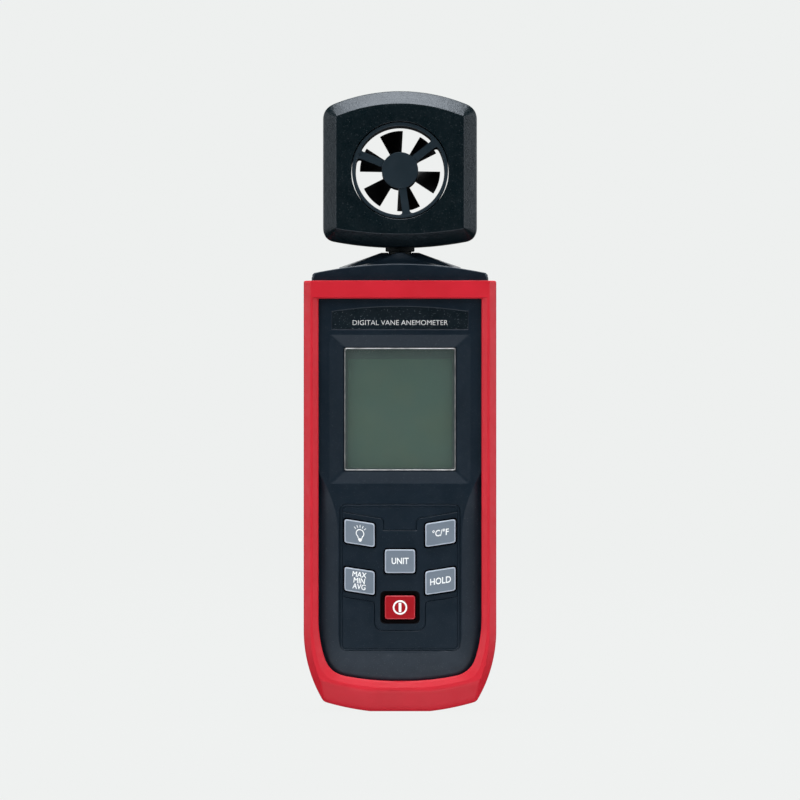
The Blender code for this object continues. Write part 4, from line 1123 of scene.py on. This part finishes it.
def screw(name, x, z, seat_y, shank, head, head_height, length, body):
    """A pan-head screw with a domed head and a cross recess."""
    profile = [(0, -length), (shank * 0.35, -length), (shank, -length + shank * 1.3), (shank, 0)]
    profile += [(head, 0), (head, head_height * 0.35), (head * 0.94, head_height * 0.68)]
    profile += [(head * 0.78, head_height * 0.9), (head * 0.5, head_height), (0, head_height)]
    made = turned(name + "_fine", profile, (x, seat_y, z), "Y", 32)
    face = seat_y + head_height
    reach, width, depth = head * 0.6, head * 0.12, head_height * 0.6
    rings = []
    for y, x_end, z_end in ((face + 1, reach, width), (face - depth, reach * 0.5, width * 0.7)):
        corners = ((-x_end, -z_end), (x_end, -z_end), (x_end, z_end), (-x_end, z_end))
        rings.append(at(corners, y))
    cutters = []
    for turn in (0, pi / 2):
        blade = loft(name + "_slot", rings)
        spot = Matrix.Translation((x * MM, 0, z * MM))
        blade.data.transform(spot @ Matrix.Rotation(turn, 4, "Y"))
        cutters.append(blade)
    cut(made, *cutters)
    place(made, body, "steel", name)


SCREWS = {  # kind: (places, seat, shank and head radius, head height, length, body)
    "case": (CASE_SCREWS, CASE_BACK - CASE_SCREW_SINK + GAP, 1.2, 2.3, 1.5, 17.5, "case"),
    "head": (HEAD_SCREWS, HEAD_DEPTH - HEAD_SCREW_SINK + GAP, 1.05, 1.9, 1.2, 14.0, "head"),
    "board": (BOARD_SCREWS, BOARD_FRONT, 1.0, 1.9, 1.2, 4.9, "case"),
}


def make_screws():
    for kind, (places, *size_and_body) in SCREWS.items():
        for i, (x, z) in enumerate(places):
            screw(f"{kind}_screw_{i + 1}", x, z, *size_and_body)


def make_cell(number, x, up):
    """An AAA cell whose plus end is at the top, or at the bottom where up is -1."""
    length, tip, r = CELL_LENGTH, CELL_LENGTH + CELL_NUB, CELL_RADIUS
    start = BAY_LOW + CELL_END_ROOM if up > 0 else BAY_HIGH - CELL_END_ROOM
    profile = [(0, 0.25), (r - 1.2, 0.25), (r - 1.0, 0.0), (r - 0.25, 0.0), (r, 0.3)]
    profile += [(r, length - 0.45), (r - 0.2, length), (r - 0.9, length), (r - 1.1, length - 0.3)]
    profile += [(2.2, length - 0.3), (1.95, length), (1.9, tip - 0.2), (1.7, tip), (0, tip)]
    profile = [(radius, up * along) for radius, along in profile]
    cell = turned(f"cell_{number}", profile, (x, CELL_Y, start), "Z", 64)
    paint(cell, "cell_jacket" if up > 0 else "cell_jacket_inverted", "steel")

    def bare(centre, _):
        return sqrt((centre.x - x) ** 2 + (centre.y - CELL_Y) ** 2) < r - 0.7

    repaint(cell, 1, bare)
    place(cell, "case", "cell_jacket", f"battery_cell_{number}")


def make_spring(number, x, up):
    turns, steps = 3.0, 30
    start = BAY_LOW + SPRING_END_ROOM if up > 0 else BAY_HIGH - SPRING_END_ROOM
    coil = []
    for k in range(int(turns * steps) + 1):
        share = k / (turns * steps)
        radius, angle = 3.1 - 1.0 * share, 2 * pi * k / steps
        spot = (x + radius * cos(angle), CELL_Y + radius * sin(angle), start + up * 1.45 * share)
        coil.append(spot)
    spring = tube_along(f"spring_{number}", coil, 0.2)
    place(spring, "case", "steel", f"battery_spring_{number}", angle=80)


def make_power():
    for i, x in enumerate(CELL_XS):
        up = 1 if i != 1 else -1
        make_cell(i + 1, x, up)
        make_spring(i + 1, x, up)


def make_label():
    half, low, high = LABEL
    plate = prism("back_label", rectangle(half, low, high, 1.5), CASE_BACK - 0.4, CASE_BACK - 0.1)
    place(plate, "case", "label_film", "rating_label")
    y = CASE_BACK - 0.09

    def printed(name, outline):
        return prism(name, outline, y - 0.02, y + 0.02)

    def framed(name, outline, hole):
        return cut(printed(name, outline), prism(name + "_hole", hole, y - 1, y + 1))

    prints = [
        lettering("back_words", TYPE_NAME, 2.1, 0, 112.5, y, turn=-1),
        lettering("back_words", "BATTERY  3 x 1.5 V  AAA", 1.9, 0, 107.6, y, turn=-1),
    ]
    border = rectangle(15.9, 85.4, 117.2, 1.0), rectangle(15.65, 85.65, 116.95, 0.85)
    prints.append(framed("back_border", *border))
    for z in (104.8, 96.4):
        prints.append(printed("back_rule", rectangle(13.5, z, z + 0.22, 0.05, 2)))
    for i, x in enumerate((-9.6, 0.0, 9.6)):
        symbol = rectangle(3.6, 99.4, 102.4, 0.4, 4, x), rectangle(3.3, 99.7, 102.1, 0.3, 4, x)
        prints.append(framed("back_cell", *symbol))
        tip = x + (3.95 if i != 1 else -3.95)
        prints.append(printed("back_tip", rectangle(0.3, 100.3, 101.5, 0.1, 2, tip)))
    for row, reach in enumerate((12.0, 10.5, 7.5)):
        z = 93.2 - 2.4 * row
        prints.append(printed("back_line", rectangle(reach, z, z + 0.6, 0.1, 2)))
    inked = merged("back_print", prints)
    place(inked, "case", "label_film", look="label_ink")


# ---------------------------------------------------------------- vane head


def facing(side, profile):
    """A profile given by its distances from the middle of the head, for one side of it."""
    return [(radius, side * along) for radius, along in profile]


def make_head_shell(side):
    where = "front" if side < 0 else "rear"
    edge = HEAD_DEPTH - HEAD_BEVEL
    levels = [(0.3, PARTING), (0.0, PARTING + 0.3), (0.0, edge - 0.35), (0.10, edge + 0.02)]
    levels += [(0.42, edge + 0.42), (HEAD_BEVEL - 0.13, HEAD_DEPTH - 0.13)]
    levels += [(HEAD_BEVEL, HEAD_DEPTH - 0.04), (HEAD_BEVEL + 0.15, HEAD_DEPTH)]
    shell = stack("head_shell_" + where, head_outline, facing(side, levels))
    rooms = []
    for inset, reach in ((1.8, 6.0), (HEAD_BEVEL + 1.6, HEAD_DEPTH - 1.8)):
        rooms.append(prism("head_room", head_outline(inset), *sorted((-side, side * reach))))
    cut(shell, *rooms)
    start = min(side * 0.4, side * 9.4)
    join(shell, cylinder("head_collar", (0, start, BORE_Z), "Y", HEAD_HOLE + 1.5, 9.0, 96))
    for x, z in HEAD_SCREWS:
        start = min(side * 0.6, side * 9.6)
        join(shell, cylinder("head_boss", (x, start, z), "Y", 3.2, 9.0, 24))
    mouth = HEAD_DEPTH + 0.3
    profile = [(0, -mouth), (HEAD_HOLE + 0.42, -mouth), (HEAD_HOLE, -HEAD_DEPTH + 0.12)]
    profile += [(HEAD_HOLE, HEAD_DEPTH - 0.12), (HEAD_HOLE + 0.42, mouth), (0, mouth)]
    cutters = [turned("head_hole", profile, (0, 0, BORE_Z), "Y", 128)]
    bore, reach = (1.2, 8.0) if side < 0 else (1.35, 12.0)
    start = min(side * -0.5, side * reach)
    for x, z in HEAD_SCREWS:
        cutters.append(cylinder("head_screw_hole", (x, start, z), "Y", bore, reach + 0.5, 24))
        if side > 0:
            seat = (x, HEAD_DEPTH - HEAD_SCREW_SINK, z)
            cutters.append(cylinder("head_screw_room", seat, "Y", 2.2, 4, 32))
    cutters.append(cylinder("head_neck", (0, 0, HEAD_BOTTOM - 3), "Z", NECK_RADIUS + GAP, 6, 48))
    cut(shell, *cutters)
    place(shell, "head", "case_plastic", f"head_{where}_shell", look="head_plastic", angle=35)


def make_stem():
    top = NECK_TOP + GAP
    profile = [(2.2, 134.6), (3.7, 134.6), (3.7, 135.8), (3.0, 135.8), (3.0, 137.0), (3.7, 137.0)]
    profile += [(3.7, top), (NECK_RADIUS - 0.2, top), (NECK_RADIUS, top + 0.2)]
    profile += [(NECK_RADIUS, 151.9), (5.6, 151.9), (5.6, 153.4), (2.2, 153.4)]
    stem = turned("neck_stem", profile, (0, 0, 0), "Z", 64)
    place(stem, "head", "case_plastic", "swivel_stem", look="stem_plastic")


def spider_opening(first, last, y_low, y_high):
    """The air way between two spokes, a region with softened corners, as a cutter."""
    inner, outer = HUB_CAP_RADIUS - 0.35, BORE_RADIUS
    outer_ease, inner_ease = 1.3, 0.7
    start, end = radians(first), radians(last)
    a_in, a_out = asin(SPOKE_HALF_WIDTH / inner), asin(SPOKE_HALF_WIDTH / outer)
    bend_out, bend_in = outer_ease / outer, inner_ease / inner

    def polar(radius, angle):
        return Vector((radius * cos(angle), radius * sin(angle)))

    def arc_between(radius, low, high, steps):
        return [polar(radius, low + (high - low) * i / steps) for i in range(1, steps)]

    out_start, in_start = polar(outer, start + a_out), polar(inner, start + a_in)
    out_end, in_end = polar(outer, end - a_out), polar(inner, end - a_in)
    along, back = (out_start - in_start).normalized(), (out_end - in_end).normalized()
    low, high = start + a_out + bend_out, end - a_out - bend_out
    points = curve(out_start - along * outer_ease, out_start, polar(outer, low), 8)
    points += arc_between(outer, low, high, 24)
    points += curve(polar(outer, high), out_end, out_end - back * outer_ease, 8)
    low, high = end - a_in - bend_in, start + a_in + bend_in
    points += curve(in_end + back * inner_ease, in_end, polar(inner, low), 8)
    points += arc_between(inner, low, high, 12)
    points += curve(polar(inner, high), in_start, in_start + along * inner_ease, 8)
    return prism("air_way", [(x, z + BORE_Z) for x, z in points], y_low, y_high)


def make_spider(side):
    where = "front" if side < 0 else "rear"
    low, high = sorted((side * SPIDER_FACE, side * SPIDER_BACK))
    back, face, edge = SPIDER_BACK, SPIDER_FACE, DUCT_OUTSIDE
    profile = [(0, back), (edge, back), (edge, face - 0.15), (edge - 0.15, face)]
    profile += [(BORE_RADIUS + 0.25, face), (BORE_RADIUS - 0.2, face - 0.25), (0, face - 0.25)]
    ring = turned("spider_" + where, facing(side, profile), (0, 0, BORE_Z), "Y", 128)
    for first, last in zip(SPOKE_ANGLES, SPOKE_ANGLES[1:] + [SPOKE_ANGLES[0] + 360]):
        cut(ring, spider_opening(first, last, low - 1, high + 1))
    cap = HUB_CAP_RADIUS
    profile = [(0, 7.2), (cap - 0.3, 7.2), (cap, 7.5), (cap, 10.62)]
    profile += [(cap - 0.06, 10.74), (cap - 0.2, 10.8), (0, 10.8)]
    join(ring, turned("spider_hub", facing(side, profile), (0, 0, BORE_Z), "Y", 96))
    rooms = [cylinder("bearing_room", (0, min(side * 6.0, side * 9.4), BORE_Z), "Y", 1.5, 3.4, 32)]
    if side > 0:
        rooms.append(box("pickup_room", (-1.8, 6.0, BORE_Z - 5.0), (1.8, 9.3, BORE_Z - 2.2)))
    angle = radians(SPOKE_ANGLES[1])
    mark = Vector((13.9 * cos(angle), 0, BORE_Z + 13.9 * sin(angle)))
    profile = [(0.32, 10.2), (0.5, 10.2), (0.5, 11.2), (0.32, 11.2)]
    rooms.append(turned("gate_mark", facing(side, profile), mark, "Y", 24))
    cut(ring, *rooms)
    place(ring, "head", "spider_plastic", where + "_spider", angle=35)


def make_duct():
    wall = [(BORE_RADIUS, -DUCT_END), (DUCT_OUTSIDE, -DUCT_END), (DUCT_OUTSIDE, DUCT_END)]
    duct = turned("duct", wall + [(BORE_RADIUS, DUCT_END)], (0, 0, BORE_Z), "Y", 128)
    place(duct, "head", "vane_plastic", "vane_duct", look="duct_plastic")


def blade_sections(centre):
    """The rings of one helical blade, from inside the hub out to its tip."""
    root, sweep, count = HUB_RADIUS - 0.7, radians(BLADE_SWEEP), 14
    sections = []
    for step in range(13):
        share = step / 12
        radius = root + (TIP_RADIUS - root) * share
        thick = 0.34 - 0.10 * share
        pitch = atan2(BLADE_DEPTH, radius * sweep)
        rim = []
        for face in (1, -1):
            for k in range(count):
                t = face * ((k + 0.5) / count - 0.5)
                shift = face * thick * sqrt(max(0.0, 1 - (2 * abs(t)) ** 6))
                angle = centre + sweep * t - shift * sin(pitch) / radius
                y = BLADE_DEPTH * t + shift * cos(pitch)
                rim.append((radius * cos(angle), y, BORE_Z + radius * sin(angle)))
        sections.append(rim)
    return sections


def make_impeller():
    """Six helical blades, thin at the edges, on a hub with a rounded nose."""
    profile = [(0.6, -3.7), (4.0, -3.7), (4.8, -3.5), (HUB_RADIUS, -3.1), (HUB_RADIUS, 3.1)]
    profile += [(4.8, 3.5), (4.0, 3.7), (3.6, 3.7), (3.6, 2.2), (1.9, 2.2), (1.9, 3.7), (0.6, 3.7)]
    vane = turned("vane", profile, (0, 0, BORE_Z), "Y", 64)
    for i in range(BLADE_COUNT):
        join(vane, loft("blade", blade_sections(radians(BLADE_PHASE + 360 / BLADE_COUNT * i))))
    place(vane, "vane", "vane_plastic", "impeller", angle=40)


# ---------------------------------------------------------------- CAD nodes that stay


def finish_cad_nodes():
    """Gives the CAD nodes that still show their procedural materials."""
    slots = {part["node"]: part["material_slot"] for part in frame["record"]["subparts"]}
    for name, obj in frame["nodes"].items():
        finish = materials[slots[name]]
        if not obj.material_slots:
            obj.data.materials.append(finish)
        for slot in obj.material_slots:
            slot.material = finish


# ---------------------------------------------------------------- studio


def make_sweep():
    """A pale round bowl: floor, curve and wall in one sheet, which glows evenly."""
    floor_radius, bend_radius, top, sides = 5.0, 1.5, 9.0, 96
    profile = [(0.6, 0.0), (2.5, 0.0), (floor_radius, 0.0)]
    for degrees in range(9, 91, 9):
        a = radians(degrees)
        profile.append((floor_radius + bend_radius * sin(a), bend_radius * (1 - cos(a))))
    profile.append((floor_radius + bend_radius, top))
    bm = bmesh.new()
    turns = [2 * pi * i / sides for i in range(sides)]
    rows = [[bm.verts.new((r * cos(a), r * sin(a), z)) for a in turns] for r, z in profile]
    bm.faces.new(rows[0])
    for inner, outer in zip(rows, rows[1:]):
        for i in range(sides):
            k = (i + 1) % sides
            bm.faces.new((inner[i], outer[i], outer[k], inner[k]))
    sweep = finished("studio_sweep", bm)
    sweep.data.shade_smooth()
    glow = {"Emission_Color": (0.855, 0.871, 0.863, 1), "Emission_Strength": 0.999}
    tones = [(0.3, 0.005), (0.7, 0.006)]
    paper = drifting("studio_paper", 400, 2, tones, Roughness=1.0, Specular_IOR_Level=0.0, **glow)
    sweep.data.materials.append(paper)
    sweep.visible_glossy = False
    sweep.visible_diffuse = False
    sweep.visible_shadow = False


# Name: place and target in metres, width, watts, height (None for a square). Some lie below the
# floor, which casts no shadow.
LIGHTS = {
    "overhead": ((0, -0.10, 1.25), (0, -0.1, 0.15), 0.9, 22, None),
    "key_high": ((0, -1.2, 1.35), (0, 0, 0.1), 1.0, 5.9, 0.6),
    "left_front": ((-1.20, -0.76, 0.5), (0, 0, 0.1), 0.7, 10.8, 1.0),
    "right_front": ((1.20, -0.76, 0.5), (0, 0, 0.1), 0.7, 9.6, 1.0),
    "left_rear": ((-1.2, 0.45, 0.3), (0, 0, 0.1), 0.7, 3.8, 1.0),
    "right_rear": ((1.2, 0.45, 0.3), (0, 0, 0.1), 0.7, 4.6, 1.0),
    "table_near": ((0, -0.27, -0.09), (0, 0, 0.03), 0.34, 0.21, 0.10),
    "left_low": ((-0.24, -0.32, -0.06), (-0.02, 0, 0.04), 0.16, 0.085, 0.16),
    "right_low": ((0.24, -0.32, -0.06), (0.02, 0, 0.04), 0.16, 0.085, 0.16),
    "table_under": ((0, -0.40, -0.80), (0, 0, 0.05), 1.0, 5.0, 0.5),
    "back_high": ((0, 1.2, 1.1), (0, 0, 0.1), 1.0, 8, None),
}


def make_lights():
    for name, (spot, target, width, watts, height) in LIGHTS.items():
        data = bpy.data.lights.new(name, "AREA")
        data.energy = watts
        data.color = (0.95, 0.98, 1.0)
        data.size = width
        if height:
            data.shape = "RECTANGLE"
            data.size_y = height
        lamp = bpy.data.objects.new(name, data)
        bpy.context.scene.collection.objects.link(lamp)
        lamp.location = spot
        direction = Vector(target) - Vector(spot)
        lamp.rotation_euler = direction.to_track_quat("-Z", "Y").to_euler()
    world = bpy.data.worlds.new("studio_air")
    world.use_nodes = True
    air = world.node_tree.nodes["Background"].inputs
    air["Color"].default_value = (0.90, 0.95, 1.0, 1)
    air["Strength"].default_value = 0.02
    bpy.context.scene.world = world


def make_camera():
    data = bpy.data.cameras.new("camera")
    data.sensor_width = 36.0
    data.lens = CAMERA_LENS
    data.clip_start, data.clip_end = 0.05, 20.0
    camera = bpy.data.objects.new("camera", data)
    bpy.context.scene.collection.objects.link(camera)
    camera.location = (0.0, -CAMERA_DISTANCE, CAMERA_HEIGHT)
    camera.rotation_euler = (pi / 2, 0, 0)
    bpy.context.scene.camera = camera


make_sweep()
make_lights()
make_camera()
bpy.context.scene.view_settings.view_transform = "Standard"
make_boot()
make_front_case()
make_rear_case()
make_battery_door()
make_display()
make_keys()
make_screws()
make_power()
make_label()
make_head_shell(-1)
make_head_shell(1)
make_stem()
make_spider(-1)
make_spider(1)
make_duct()
make_impeller()
finish_cad_nodes()
